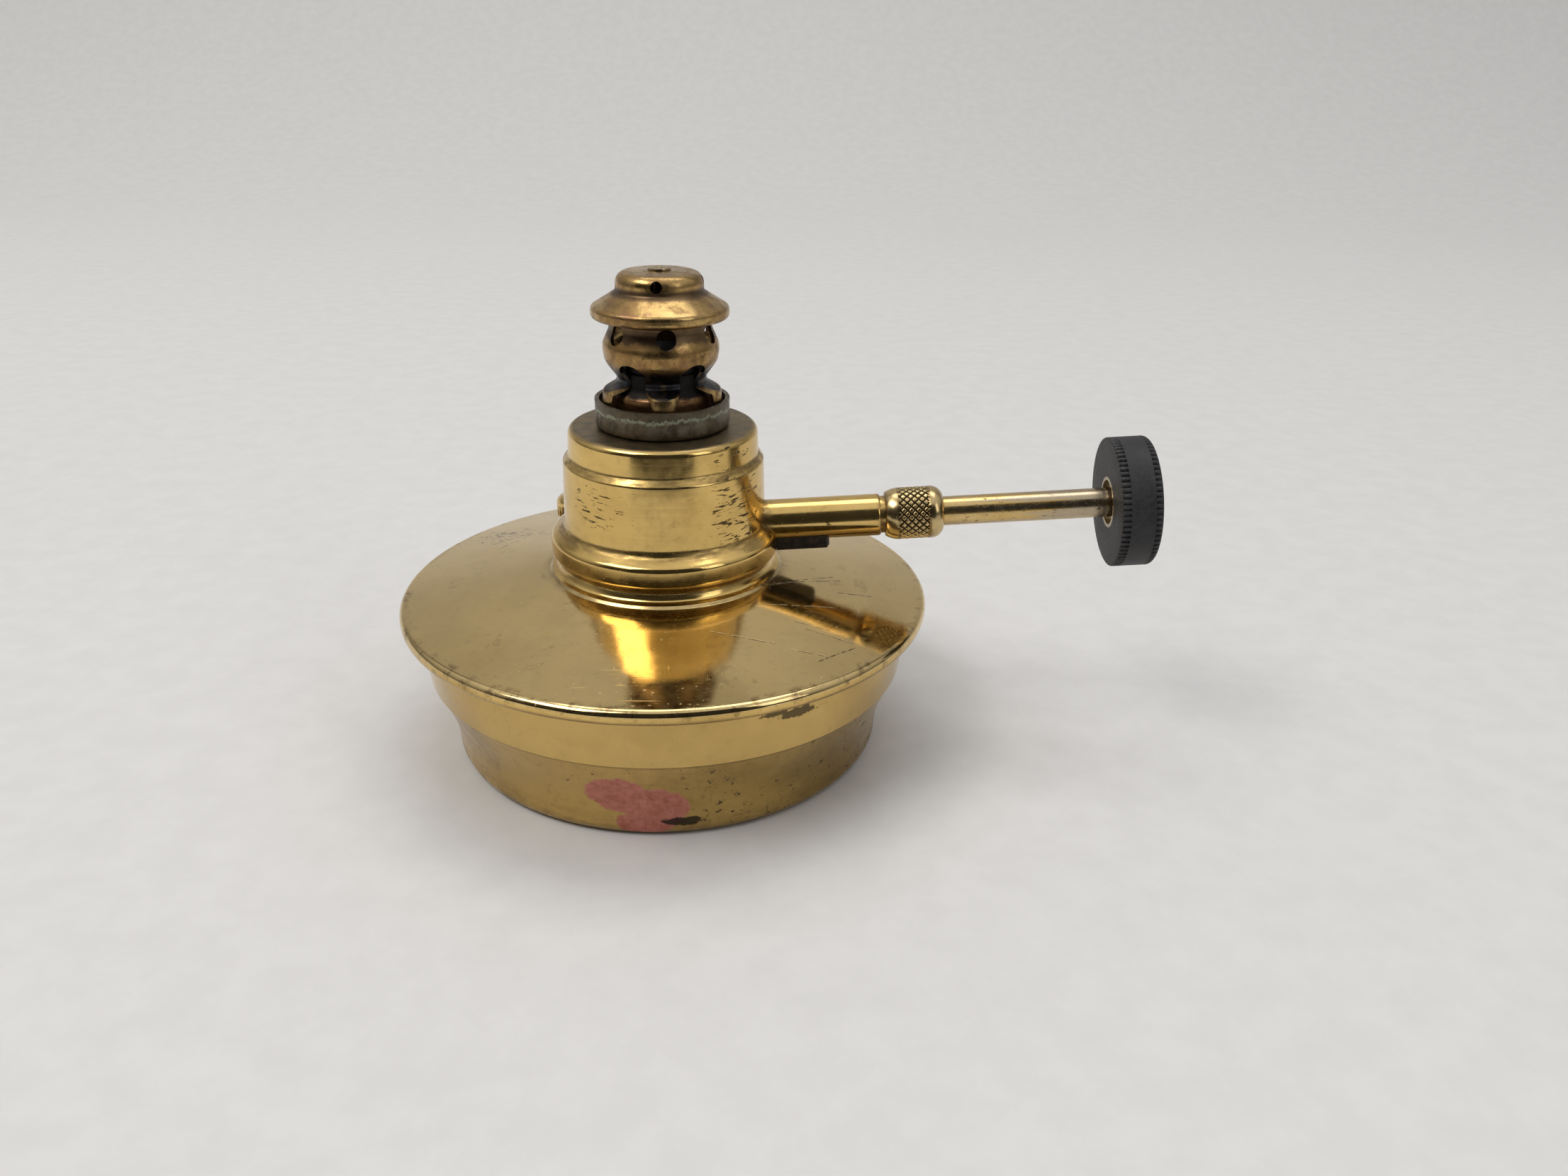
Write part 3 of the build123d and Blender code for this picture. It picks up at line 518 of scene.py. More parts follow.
def pan_extra(p, colour, rough):
    """Darker towards the bottom, pits, a few vertical streaks and the patch where copper shows
    through.
    """
    # darker towards the bottom of the pan, broken up by noise
    bottom_darkening = p.times(p.span(p.z, 0.5, 6.0, 1.0, 0.0),
                   p.clouds((1.0, 5.0, 0.7), 0.35, 0.65, where=p.ring(0.3, 0.3, 0.5)))
    pits = p.times(p.clouds((0.75, 4.0, 0.7), 0.60, 0.66), p.clouds((0.07, 2.0), 0.46, 0.56))
    streak = p.times(p.clouds((1.0, 3.0, 0.6), 0.62, 0.72, where=p.ring(1.5, 0.1, 0.05)),
                     p.span(p.turn, 0.1, 0.5))
    pink = p.spots(PINK_PATCH, 0.25, 0.4, 0.06)
    smear = p.spot(6.6, -42, 3.4, 3.6, 10, 0.9, 0.6, 0.7)
    seam = p.times(p.span(p.z, 16.2, 17.2), 0.8)
    colour = p.mix(p.times(bottom_darkening, 0.55), colour, BROWN)
    colour = p.mix(p.times(streak, 0.55), colour, BROWN)
    colour = p.mix(p.times(pits, 0.8), colour, SOOT)
    colour = p.mix(seam, colour, BROWN)
    copper = p.mix(p.clouds((0.6, 4.0, 0.7), 0.35, 0.7), (0.60, 0.26, 0.20), (0.46, 0.17, 0.12))
    colour = p.mix(pink, colour, copper)
    colour = p.mix(p.times(smear, 0.9), colour, SOOT)
    rough = p.plus(p.plus(rough, p.times(p.most(bottom_darkening, pits), 0.2)), p.times(pink, 0.34))
    return colour, rough, [(p.plus(pink, p.times(pits, -1.0)), 0.4, 0.06)]


SCUFFS = [(-10.5, -15, 52.0, 5.5, 6, 3.6, 0.5, 0.35), (14.5, -12, 51.0, 5.5, 7, 7.0, 0.5, 0.35),
          (13.5, -12, 60.5, 3.0, 6, 2.2, 0.5, 0.5)]


def cover_extra(p, colour, rough):
    """A grey top, painted shade in the steps and two scuffed places on the barrel."""
    top = p.times(p.span(p.z, 62.2, 62.75), p.span(p.r, 17.9, 16.4))
    grey = p.mix(p.clouds((0.5, 5.0, 0.7), 0.35, 0.7), (0.23, 0.17, 0.09), (0.12, 0.10, 0.07))
    # painted shade in the steps: dark bands in the neck under the collar, at the barrel's foot and at
    # the upper step, broken up by noise
    step_shade = p.most(p.band(p.z, 37.6, 0.5, 0.8), p.band(p.z, 43.9, 0.35, 0.8),
                   p.band(p.z, 57.4, 0.5, 0.5))
    step_shade = p.times(step_shade, p.clouds((1.0, 4.0), 0.3, 0.65, where=p.ring(0.3, 1, 1)))
    strokes = p.xyz(p.times(p.turn, 9.0), p.r, p.times(p.z, 2.6))
    cuts = p.times(p.clouds((0.7, 3.0, 0.6, 0.5), 0.57, 0.61, where=strokes), p.spots(SCUFFS))
    # painted shade in the steps
    colour = p.mix(p.times(step_shade, 0.75), colour, BROWN)
    colour = p.mix(p.times(cuts, 0.9), colour, SOOT)
    colour = p.mix(top, colour, grey)
    rough = p.plus(p.plus(rough, p.times(top, 0.3)), p.times(p.most(step_shade, cuts), 0.25))
    return colour, rough, [(p.minus(1.0, cuts), 0.7, 0.1)]


def head_extra(p, colour, rough):
    """Heat colours, dark creases, a sooty foot, and metal showing at the petals' edges."""
    heat = p.clouds((0.22, 5.0, 0.7, 0.8), 0.42, 0.62)
    purple = p.clouds((0.3, 3.0, 0.6), 0.56, 0.68, where=p.stretch(1, 1, 1.6))
    soot = p.math("ADD", p.span(p.z, 76.6, 73.4), p.shake((0.5, 4.0), 1.2), clamp=True)
    ragged = p.plus(p.z, p.shake((0.45, 4.0), 3.0))
    crease = p.most(p.band(ragged, 81.3, 1.4, 0.9), p.band(p.z, 87.6, 0.4, 0.6))
    # distance from the middle line of the nearest petal, which ends in a half circle
    half_pitch = 180.0 / LEGS
    turn = p.plus(p.turn, radians(half_pitch - LEG_AZIMUTH))
    turn = p.minus(p.math("FLOORED_MODULO", turn, radians(2 * half_pitch)), radians(half_pitch))
    aside = p.math("ABSOLUTE", p.times(p.r, p.math("SINE", turn)))
    ahead = p.math("MAXIMUM", p.minus(p.times(p.r, p.math("COSINE", turn)), LEG_REACH), 0.0)
    away = p.math("SQRT", p.plus(p.times(aside, aside), p.times(ahead, ahead)))
    rim = p.times(p.span(away, LEG_HALF_WIDTH - 0.39, LEG_HALF_WIDTH - 0.13),
                  p.span(p.z, 71.4, 70.6))
    bright = p.times(p.clouds((0.9, 4.0, 0.7), 0.5, 0.62), p.span(p.r, 9.8, 10.9))
    tip = p.times(p.span(p.z, 69.0, 68.5), p.clouds((0.9, 4.0), 0.3, 0.5))
    tip = p.most(tip, p.times(rim, 0.75), p.times(bright, p.span(p.z, 70.6, 69.8), 0.35))
    foot = p.times(soot, p.minus(1.0, tip))
    colour = p.mix(p.times(heat, 0.6), colour, (0.24, 0.13, 0.05))
    colour = p.mix(p.times(purple, 0.35), colour, (0.22, 0.10, 0.09))
    colour = p.mix(p.times(crease, 0.8), colour, (0.075, 0.05, 0.035))
    colour = p.mix(foot, colour, (0.030, 0.029, 0.033))
    rough = p.plus(p.plus(rough, p.times(p.most(heat, crease), 0.16)), p.times(foot, 0.06))
    return colour, rough, [(p.noise(p.mm, 0.8, 4.0, 0.6), 0.2, 0.12)]


def cup_material():
    """Dark dish with a ragged line of green round it."""
    p = Paint("cup_dark", 0.75)
    grain = p.noise(p.mm, 0.7, 6.0, 0.7)
    base = p.mix(p.span(grain, 0.35, 0.7), (0.15, 0.115, 0.07), (0.055, 0.045, 0.03))
    grey = p.mix(p.clouds((0.28, 4.0, 0.6), 0.4, 0.65), base, (0.17, 0.145, 0.105))
    jagged = p.plus(p.z, p.shake((1.0, 5.0, 0.75), 3.4, where=p.ring(0.35, 0.2, 0.2)))
    line = p.times(p.band(jagged, 66.5, 0.12, 0.34), p.clouds((1.1, 4.0, 0.7), 0.3, 0.5))
    colour = p.mix(p.times(p.span(jagged, 66.1, 66.7), 0.45), grey, (0.09, 0.07, 0.04))
    colour = p.mix(line, colour, (0.25, 0.26, 0.17))
    metallic = p.minus(0.75, p.times(line, 0.75))
    return p.finish(colour, p.span(grain, 0.3, 0.7, 0.32, 0.58),
                    [(grain, 0.35, 0.12), (line, 0.5, 0.1)], metallic)


def core_extra(p, colour, rough):
    """Coppery patches, and soot towards the neck."""
    soot = p.span(p.plus(p.z, p.times(p.noise(p.mm, 0.6, 4.0), 1.6)), 69.4, 70.6)
    colour = p.mix(p.times(p.clouds((0.5, 4.0), 0.4, 0.6), 0.5), colour, (0.30, 0.13, 0.06))
    colour = p.mix(soot, colour, SOOT)
    return colour, p.plus(rough, p.times(soot, 0.25)), []


def tube_extra(p, colour, rough):
    """Dirt at both ends, a few marks, and an underside darkened as painted shade."""
    ends = p.most(p.span(p.z, 40.6, 41.6), p.span(p.z, 21.5, 19.5))
    ends = p.times(ends, p.clouds((0.8, 4.0), 0.3, 0.6))
    marks = p.times(p.clouds((1.1, 3.0), 0.62, 0.67, where=p.stretch(1.0, 1.0, 0.5)),
                    p.spot(-3, 0, 28.5, 4, 4, 3.4, 0.3))
    # painted shade: the tube's lower side darkened towards dark brown
    underside_shade = p.times(p.span(p.y, 0.2, -2.2), 0.75)
    colour = p.mix(underside_shade, colour, (0.16, 0.105, 0.055))
    colour = p.mix(p.times(ends, 0.8), colour, BROWN)
    colour = p.mix(p.times(marks, 0.9), colour, SOOT)
    return colour, p.plus(rough, p.times(ends, 0.2)), []


def rod_extra(p, colour, rough):
    """Grey lanes along the rod, more of them towards the knob, and dark flecks."""
    lane = p.noise(p.stretch(0.9, 0.9, 0.03), 1.0, 4.0, 0.6)
    steel = p.span(p.plus(lane, p.span(p.z, 55, 84, -0.05, 0.16, smooth=False)), 0.5, 0.6)
    flecks = p.times(p.clouds((1.5, 4.0, 0.7), 0.6, 0.68, where=p.stretch(1, 1, 0.4)), 0.85)
    colour = p.mix(p.times(steel, 0.75), colour, (0.42, 0.37, 0.30))
    colour = p.mix(flecks, colour, (0.07, 0.05, 0.03))
    return colour, p.plus(rough, p.times(flecks, 0.2)), [(p.minus(1.0, flecks), 0.3, 0.05)]


def nut_extra(p, colour, rough):
    """Dirt in the knurl and beside it."""
    valley = p.times(p.band(p.z, 47.65, 2.9, 0.15), p.span(p.r, 4.91, 4.72))
    colour = p.mix(p.times(valley, 0.9), colour, SOOT)
    ends = p.most(p.span(p.z, 43.2, 42.3), p.band(p.z, 44.9, 0.15, 0.3),
                  p.band(p.z, 50.6, 0.15, 0.3))
    colour = p.mix(p.times(ends, 0.6), colour, BROWN)
    return colour, p.plus(rough, p.times(valley, 0.3)), []


def knob_material():
    """Black plastic, paler where its edges are worn."""
    p = Paint("knob_black", 0.0)
    grain = p.noise(p.mm, 1.6, 5.0, 0.7)
    worn = p.times(p.span(p.r, 12.0, 12.35), p.clouds((0.8, 4.0, 0.7), 0.45, 0.62))
    edge = p.times(worn, p.most(p.span(p.z, 86.1, 85.2), p.span(p.z, 91.0, 92.0)))
    colour = p.mix(p.span(grain, 0.35, 0.7), (0.018, 0.018, 0.020), (0.036, 0.035, 0.036))
    colour = p.mix(p.times(p.clouds((0.15, 3.0), 0.4, 0.7), 0.4), colour, (0.05, 0.048, 0.046))
    colour = p.mix(p.times(edge, 0.6), colour, (0.10, 0.095, 0.09))
    turned = p.noise(p.xyz(p.times(p.turn, 0.3), p.times(p.r, 5.0), p.z), 1.0, 3.0)
    p.fill(p.bsdf, "Specular IOR Level", 0.35)
    return p.finish(colour, p.span(grain, 0.3, 0.75, 0.48, 0.68),
                    [(grain, 0.25, 0.08), (turned, 0.12, 0.05)])


def plain(name, a, b, rough, metallic, scale=0.8, bump=0.3):
    """Simple worn surface from two tones."""
    p = Paint(name, metallic)
    n = p.noise(p.mm, scale, 5.0, 0.65)
    return p.finish(p.mix(p.span(n, 0.35, 0.68), a, b), p.span(n, 0.3, 0.7, *rough),
                    [(n, bump, 0.1)])


def cotton():
    """Strands of the wick, burnt dark towards the top."""
    p = Paint("wick_cotton", 0.0)
    strands = p.noise(p.xyz(p.times(p.turn, 12.0), p.r, p.times(p.z, 0.4)), 1.2, 4.0, 0.6)
    colour = p.mix(p.span(strands, 0.35, 0.65), (0.62, 0.56, 0.44), (0.36, 0.31, 0.22))
    colour = p.mix(p.span(p.z, 33.0, 37.5), colour, (0.12, 0.09, 0.06))
    return p.finish(colour, 0.9, [(strands, 0.6, 0.3)])


mats = {
    "tank": brass("tank_brass", rough=(0.06, 0.16), waves=0.14, extra=tank_extra),
    "pan": brass("pan_brass", base=(0.56, 0.38, 0.13), deep=(0.38, 0.25, 0.08),
                 rough=(0.14, 0.28), tarnish=0.5, extra=pan_extra),
    "cover": brass("cover_brass", tarnish=0.25, waves=0.2, extra=cover_extra),
    "tube": brass("tube_brass", rough=(0.12, 0.22), waves=0.05, extra=tube_extra),
    "rod": brass("rod_brass", base=(0.70, 0.50, 0.22), rough=(0.16, 0.3), streaks=0.8, waves=0.03,
                 extra=rod_extra),
    "nut": brass("nut_brass", base=(0.68, 0.52, 0.26), deep=(0.5, 0.37, 0.17),
                 rough=(0.16, 0.28), waves=0.03, extra=nut_extra),
    "filler": brass("filler_brass", rough=(0.14, 0.26), waves=0.05),
    "head": brass("head_brass", base=(0.58, 0.40, 0.16), deep=(0.36, 0.22, 0.08),
                  rough=(0.16, 0.32), tarnish=0.75, waves=0.1, extra=head_extra),
    "core": brass("core_brass", base=(0.55, 0.32, 0.14), deep=(0.36, 0.18, 0.08),
                  rough=(0.25, 0.42), extra=core_extra),
    "eyelet": brass("eyelet_brass", base=(0.62, 0.50, 0.30), deep=(0.4, 0.3, 0.17),
                    rough=(0.2, 0.35)),
    # the bush's tones are darkened: tarnish, and painted shade in the knob's recess
    "bush": brass("bush_brass", base=(0.46, 0.37, 0.22), deep=(0.26, 0.2, 0.11),
                  rough=(0.2, 0.35), tarnish=0.8),
    "inner": brass("inner_brass", base=(0.6, 0.42, 0.17), rough=(0.25, 0.4)),
    "jet": brass("jet_brass", base=(0.42, 0.28, 0.12), deep=(0.2, 0.13, 0.06),
                 rough=(0.3, 0.5), tarnish=0.8),
    "cup": cup_material(),
    "knob": knob_material(),
    # the tube's saddle painted near black: painted shade under the tube
    "saddle": plain("saddle_black", (0.03, 0.027, 0.024), (0.07, 0.055, 0.04), (0.3, 0.5), 0.7),
    "steel": plain("needle_steel", (0.56, 0.56, 0.57), (0.42, 0.42, 0.43), (0.18, 0.3), 1.0,
                   scale=1.5, bump=0.1),
    "fibre": plain("packing_fibre", (0.20, 0.18, 0.15), (0.08, 0.075, 0.07), (0.7, 0.9), 0.0,
                   scale=2.0, bump=0.6),
    "rubber": plain("seal_rubber", (0.035, 0.035, 0.035), (0.06, 0.058, 0.055), (0.6, 0.8), 0.0),
    "copper": plain("copper_washer", (0.5, 0.24, 0.13), (0.25, 0.12, 0.07), (0.3, 0.5), 1.0),
    "gauze": plain("gauze_black", (0.022, 0.020, 0.018), (0.05, 0.042, 0.034), (0.6, 0.85), 0.4,
                   scale=2.4, bump=0.8),
    "cotton": cotton(),
}


def dress(obj, key, slot, *nodes):
    """Material and the CAD nodes that a piece stands for; slot is not used."""
    obj.data.materials.clear()
    obj.data.materials.append(mats[key])
    if nodes:
        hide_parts(*nodes)
    return obj


# ---- tank ----
pan_points = [(0, 0), (PAN_FOOT_RADIUS, 0), (PAN_WAIST_RADIUS, PAN_WAIST_HEIGHT),
              (PAN_FLARE_RADIUS, PAN_EDGE)]
pan_bends = (2.5, 25)
pan = lathe("pan_skin", sheet_profile(pan_points, pan_bends, SHEET, 1, 6), "burner", 224)
dress(pan, "pan", "pan_brass", "base_pan")
lap_foot = PAN_EDGE - SHEET
lap = lathe("pan_lap", [(LAP_RADIUS, lap_foot), (LAP_RADIUS, lap_foot + LAP_HEIGHT),
                        (LAP_RADIUS - SHEET, lap_foot + LAP_HEIGHT), (LAP_RADIUS - SHEET, lap_foot)],
            "burner", 160)
dress(lap, "pan", "pan_brass")

tank_points = [(WICK_TUBE_RADIUS + FIT, SEAT_HEIGHT), (SEAT_RADIUS, SEAT_HEIGHT),
               (CONE_RADIUS, CONE_HEIGHT), (RIM_RADIUS, RIM_HEIGHT),
               (RIM_RADIUS, RIM_HEIGHT - RIM_BEAD), (SKIRT_RADIUS, SKIRT_HEIGHT),
               ((SKIRT_RADIUS + SEAM_RADIUS) / 2 + SKIRT_SWELL, (SKIRT_HEIGHT + SEAM_HEIGHT) / 2),
               (SEAM_RADIUS, SEAM_HEIGHT)]
tank_bends = (0.25, 0.35, 1.35, 1.15, 0.8, 30)
tank = lathe("tank_skin", sheet_profile(tank_points, tank_bends, SHEET, -1, 7), "burner", 256)
cut(tank, prism_data(circle(FILLER_NECK_RADIUS + FIT, 64), -3.0, 3.0, filler))
dress(tank, "tank", "tank_brass", "tank_shell")

# ---- column ----
cover_points = [(SEAT_RADIUS, SEAT_HEIGHT + GAP), *FOOT_FLARE, (COLLAR_RADIUS, COLLAR_BOTTOM),
                (COLLAR_RADIUS, COLLAR_TOP), (BARREL_RADIUS, BARREL_BOTTOM),
                (BARREL_TOP_RADIUS, BARREL_TOP), (STEP_RADIUS, STEP_BOTTOM),
                (COLUMN_TOP_RADIUS, COLUMN_TOP), (MOUTH_RADIUS, COLUMN_TOP)]
cover_bends = (1.2, 0.9, 1.2, 1.4, 2.0, 0.75, 0.8, 1.3)
cover = lathe("column_skin", sheet_profile(cover_points, cover_bends, SHEET, 1, 7), "burner", 224)
cut(cover, prism_data(circle(TUBE_RADIUS + FIT, 64), 9.6, 28.8, spindle))
dress(cover, "cover", "cover_brass", "column_cover")

cup_points = [(SHANK_HOLE, COLUMN_TOP + GAP), (CUP_RADIUS, COLUMN_TOP + GAP),
              (CUP_RADIUS, COLUMN_TOP + CUP_HEIGHT)]
cup = lathe("cup_skin", sheet_profile(cup_points, (1.0,), CUP_WALL, 1), "burner", 160)
dress(cup, "cup", "cup_brass", "priming_cup")
core_points = [(SHANK_HOLE, CORE_FLOOR), (CORE_BAND_RADIUS, CORE_FLOOR),
               (CORE_BAND_RADIUS, CORE_BAND_TOP), (CORE_NECK_RADIUS, CORE_NECK_HEIGHT),
               (CORE_NECK_RADIUS, CORE_TOP)]
core = lathe("core_skin", sheet_profile(core_points, (0.9, 0.25, 1.6), CORE_WALL, 1), "burner", 144)
dress(core, "core", "core_brass", "burner_core")

# ---- head: a spun shell slit into five tongues, with arches and holes ----
head_points = [(EYELET_STEM + FIT, HEAD_TOP), (CROWN_RADIUS, CROWN_EDGE),
               (CROWN_RADIUS, CROWN_BOTTOM), (BRIM_RADIUS, BRIM_TOP), (BRIM_RADIUS, BRIM_BOTTOM),
               (THROAT_RADIUS, THROAT_TOP), (THROAT_RADIUS, THROAT_BOTTOM),
               (BULB_RADIUS, BULB_HEIGHT), (BULB_LOWER_RADIUS, BULB_LOWER_HEIGHT),
               (WAIST_RADIUS, WAIST_TOP), (WAIST_RADIUS, WAIST_BOTTOM),
               (PETAL_SHOULDER_RADIUS, PETAL_SHOULDER_HEIGHT), (PETAL_TIP_RADIUS, PETAL_TIP_HEIGHT)]
head_bends = (2.0, 0.8, 1.0, 0.8, 0.7, 1.8, 3.0, 3.0, 1.0, 0.65, 1.2)
head = lathe("head_skin", sheet_profile(head_points, head_bends, HEAD_WALL, -1, 9), "head", 180)


def tongue_radius(turn):
    """Plan radius of the outline of the tongues at an angle from a tongue's middle."""
    t = abs(turn)
    if t < 1e-6:
        return LEG_REACH + LEG_HALF_WIDTH
    side = LEG_HALF_WIDTH / sin(t)
    if side * cos(t) <= LEG_REACH:
        return side
    return LEG_REACH * cos(t) + sqrt(LEG_HALF_WIDTH * LEG_HALF_WIDTH - (LEG_REACH * sin(t)) ** 2)


SLIT_STEPS, SLIT_OUTSIDE, SLIT_BOTTOM = 360, 15.0, 67.0
slit_verts, slit_faces = [], []
for i in range(SLIT_STEPS):
    t = 2 * pi * i / SLIT_STEPS
    inner = tongue_radius((t + pi / LEGS) % (2 * pi / LEGS) - pi / LEGS)
    a = t + radians(LEG_AZIMUTH)
    for r, z in ((inner, SLIT_BOTTOM), (SLIT_OUTSIDE, SLIT_BOTTOM), (SLIT_OUTSIDE, ARCH_SPRING),
                 (inner, ARCH_SPRING)):
        slit_verts.append((r * sin(a), -r * cos(a), z))
for i in range(SLIT_STEPS):
    j = (i + 1) % SLIT_STEPS
    for k in range(4):
        m = (k + 1) % 4
        slit_faces.append([4 * i + k, 4 * j + k, 4 * j + m, 4 * i + m])
cut(head, (slit_verts, slit_faces))

arch = [(ARCH_HALF_WIDTH * cos(pi * i / 20), ARCH_RISE * sin(pi * i / 20)) for i in range(21)]
arch += [(-ARCH_HALF_WIDTH, -0.05), (ARCH_HALF_WIDTH, -0.05)]


def hole_row(outline, count, azimuth, height):
    """Cutters through the wall of the head, evenly round it."""
    return [prism_data(outline, 4.0, 14.0, compass(azimuth + 360 / count * k, height))
            for k in range(count)]


cut(head, join_data(
    hole_row(arch, LEGS, LEG_AZIMUTH + 180 / LEGS, ARCH_SPRING)
    + hole_row(circle(THROAT_HOLE_RADIUS, 28), THROAT_HOLES, THROAT_HOLE_AZIMUTH, THROAT_HOLE_HEIGHT)
    + hole_row(circle(CROWN_HOLE_RADIUS, 24), CROWN_HOLES, CROWN_HOLE_AZIMUTH, CROWN_HOLE_HEIGHT)))
dress(head, "head", "head_brass", "burner_head")
eyelet_loop = [(EYELET_BORE, EYELET_BOTTOM), (EYELET_RADIUS, EYELET_BOTTOM),
               (EYELET_RADIUS, EYELET_BOTTOM + EYELET_FLANGE),
               (EYELET_STEM, EYELET_BOTTOM + EYELET_FLANGE), (EYELET_STEM, HEAD_TOP + GAP),
               (EYELET_RADIUS, HEAD_TOP + GAP), (EYELET_RADIUS, EYELET_TOP - 0.2),
               (EYELET_RADIUS - 0.06, EYELET_TOP - 0.07), (EYELET_RADIUS - 0.2, EYELET_TOP),
               (EYELET_BORE + 0.15, EYELET_TOP), (EYELET_BORE, EYELET_TOP - 0.1)]
eyelet = lathe("eyelet_skin", eyelet_loop, "head", 48)
dress(eyelet, "eyelet", "eyelet_brass", "crown_eyelet")

# ---- spindle line, each piece turned round the spindle ----
rod_bore = ROD_RADIUS + FIT
tube = lathe("tube_skin", [(rod_bore, TUBE_SOCKET), (TUBE_RADIUS, TUBE_SOCKET),
                           (TUBE_RADIUS, TUBE_SHOULDER - 0.5),
                           (TUBE_RADIUS - 0.06, TUBE_SHOULDER - 0.2),
                           (TUBE_RADIUS - 0.25, TUBE_SHOULDER), (TUBE_NOSE_RADIUS, TUBE_SHOULDER),
                           (TUBE_NOSE_RADIUS, TUBE_END), (rod_bore, TUBE_END)],
             "burner", 96, spindle_m)
dress(tube, "tube", "tube_brass", "side_tube")


def knurl(r, z, t):
    """Diamond grooves of the packing nut."""
    if r < NUT_RADIUS - 0.05 or z < GRIP_START + 0.05 or z > GRIP_END - 0.05:
        return r
    u, v = t * KNURLS / (2 * pi), z / KNURL_PITCH
    a, b = abs((u + v) % 1.0 - 0.5), abs((u - v) % 1.0 - 0.5)
    return r - KNURL_DEPTH * max(0.0, 1.0 - min(a, b) / 0.19)


GRIP_ROWS = 56
nut_start = arc_through((NUT_START, NUT_END_RADIUS), (43.4, 4.7), (GRIP_START, NUT_RADIUS))
nut_end = arc_through((GRIP_END, NUT_RADIUS), (52.6, 4.475), (NUT_END, NUT_NOSE_RADIUS))
nut_loop = [(r, z) for z, r in nut_start]
nut_loop += [(NUT_RADIUS, GRIP_START + (GRIP_END - GRIP_START) * i / GRIP_ROWS)
             for i in range(1, GRIP_ROWS)]
nut_loop += [(r, z) for z, r in nut_end]
nut_loop += [(rod_bore, NUT_END), (rod_bore, NUT_END - NUT_FLOOR),
             (TUBE_NOSE_RADIUS + FIT, NUT_END - NUT_FLOOR), (TUBE_NOSE_RADIUS + FIT, NUT_START)]
nut = lathe("nut_skin", nut_loop, "gland_nut", 312, spindle_m, knurl, 60)
dress(nut, "nut", "nut_brass", "packing_nut")

rod_loop = [(NEEDLE_HOLE_RADIUS, ROD_NOSE_START), (ROD_NOSE_RADIUS, ROD_NOSE_START),
            (ROD_NOSE_RADIUS, ROD_NOSE_END), (ROD_RADIUS, ROD_NOSE_END),
            (ROD_RADIUS, BUSH_FLOOR - GAP), (ROD_TAIL_RADIUS, BUSH_FLOOR - GAP),
            (ROD_TAIL_RADIUS, BUSH_END - GAP), (SCREW_HOLE_RADIUS, BUSH_END - GAP),
            (SCREW_HOLE_RADIUS, SCREW_HOLE_START), (0, SCREW_HOLE_START), (0, NEEDLE_HOLE_END),
            (NEEDLE_HOLE_RADIUS, NEEDLE_HOLE_END)]
rod = lathe("rod_skin", rod_loop, "spindle", 96, spindle_m)
dress(rod, "rod", "rod_brass", "spindle_rod")
bush_bore = ROD_TAIL_RADIUS + FIT
bush_loop = [(bush_bore, BUSH_FLOOR), (BUSH_RECESS, BUSH_FLOOR), (BUSH_RECESS, KNOB_START + 0.05),
             (BUSH_RECESS + 0.05, KNOB_START), (BUSH_RADIUS - 0.05, KNOB_START),
             (BUSH_RADIUS, KNOB_START + 0.05), (BUSH_RADIUS, BUSH_END), (bush_bore, BUSH_END)]
bush = lathe("bush_skin", bush_loop, "spindle", 96, spindle_m)
dress(bush, "bush", "bush_brass", "knob_bush")

notch_start, notch_end = KNOB_START + NOTCH_LENGTH, KNOB_END - NOTCH_LENGTH


def notches(r, z, t):
    """Short V notches on both edges of the knob."""
    if r < 11.2 or notch_start < z < notch_end:
        return r
    a = abs((t * NOTCHES / (2 * pi)) % 1.0 - 0.5)
    return min(r, KNOB_RADIUS - NOTCH_DEPTH * max(0.0, 1.0 - a / 0.34))


hub, knob_edge_height = BUSH_RADIUS + GAP, KNOB_END - KNOB_EDGE
knob_loop = [(hub, KNOB_START), (8.0, KNOB_START), (KNOB_RADIUS - 0.3, KNOB_START),
             (KNOB_RADIUS - 0.09, KNOB_START + 0.09), (KNOB_RADIUS, KNOB_START + 0.3)]
knob_loop += [(KNOB_RADIUS, z) for z in (notch_start - 0.01, notch_start + 0.01, 88.5,
                                         notch_end - 0.01, notch_end + 0.01, knob_edge_height)]
knob_loop += corner(KNOB_RADIUS - KNOB_EDGE, knob_edge_height, KNOB_EDGE, range(15, 91, 15))
knob_loop += [(9.2, KNOB_END), (9.05, KNOB_END - 0.05), (8.6, BUSH_END), (hub, BUSH_END)]
knob = lathe("knob_skin", knob_loop, "spindle", 576, spindle_m, notches, 35)
dress(knob, "knob", "knob_black", "control_knob")

screw_top = SCREW_START + SCREW_HEIGHT
screw_loop = [(0, SCREW_START), (SCREW_RADIUS, SCREW_START), (SCREW_RADIUS, screw_top - 0.45),
              (SCREW_RADIUS - 0.04, screw_top - 0.28), (SCREW_RADIUS - 0.14, screw_top - 0.14),
              (SCREW_RADIUS - 0.3, screw_top - 0.04), (SCREW_RADIUS - 0.45, screw_top),
              (0, screw_top)]
screw = lathe("screw_skin", screw_loop, "spindle", 72, spindle_m)
slot = [(-5, -SLOT_HALF_WIDTH), (5, -SLOT_HALF_WIDTH), (5, SLOT_HALF_WIDTH), (-5, SLOT_HALF_WIDTH)]
cut(screw, prism_data(slot, screw_top - SLOT_DEPTH, 93.0, spindle))
dress(screw, "bush", "bush_brass", "knob_screw")

# ---- filler ----


def cap_grip(r, z, t):
    """Straight grooves round the filler cap."""
    if r < 7.0 or z > CAP_GRIP_TOP:
        return r
    a = abs((t * CAP_GROOVES / (2 * pi)) % 1.0 - 0.5)
    return r - CAP_GROOVE_DEPTH * max(0.0, 1.0 - a / 0.3)


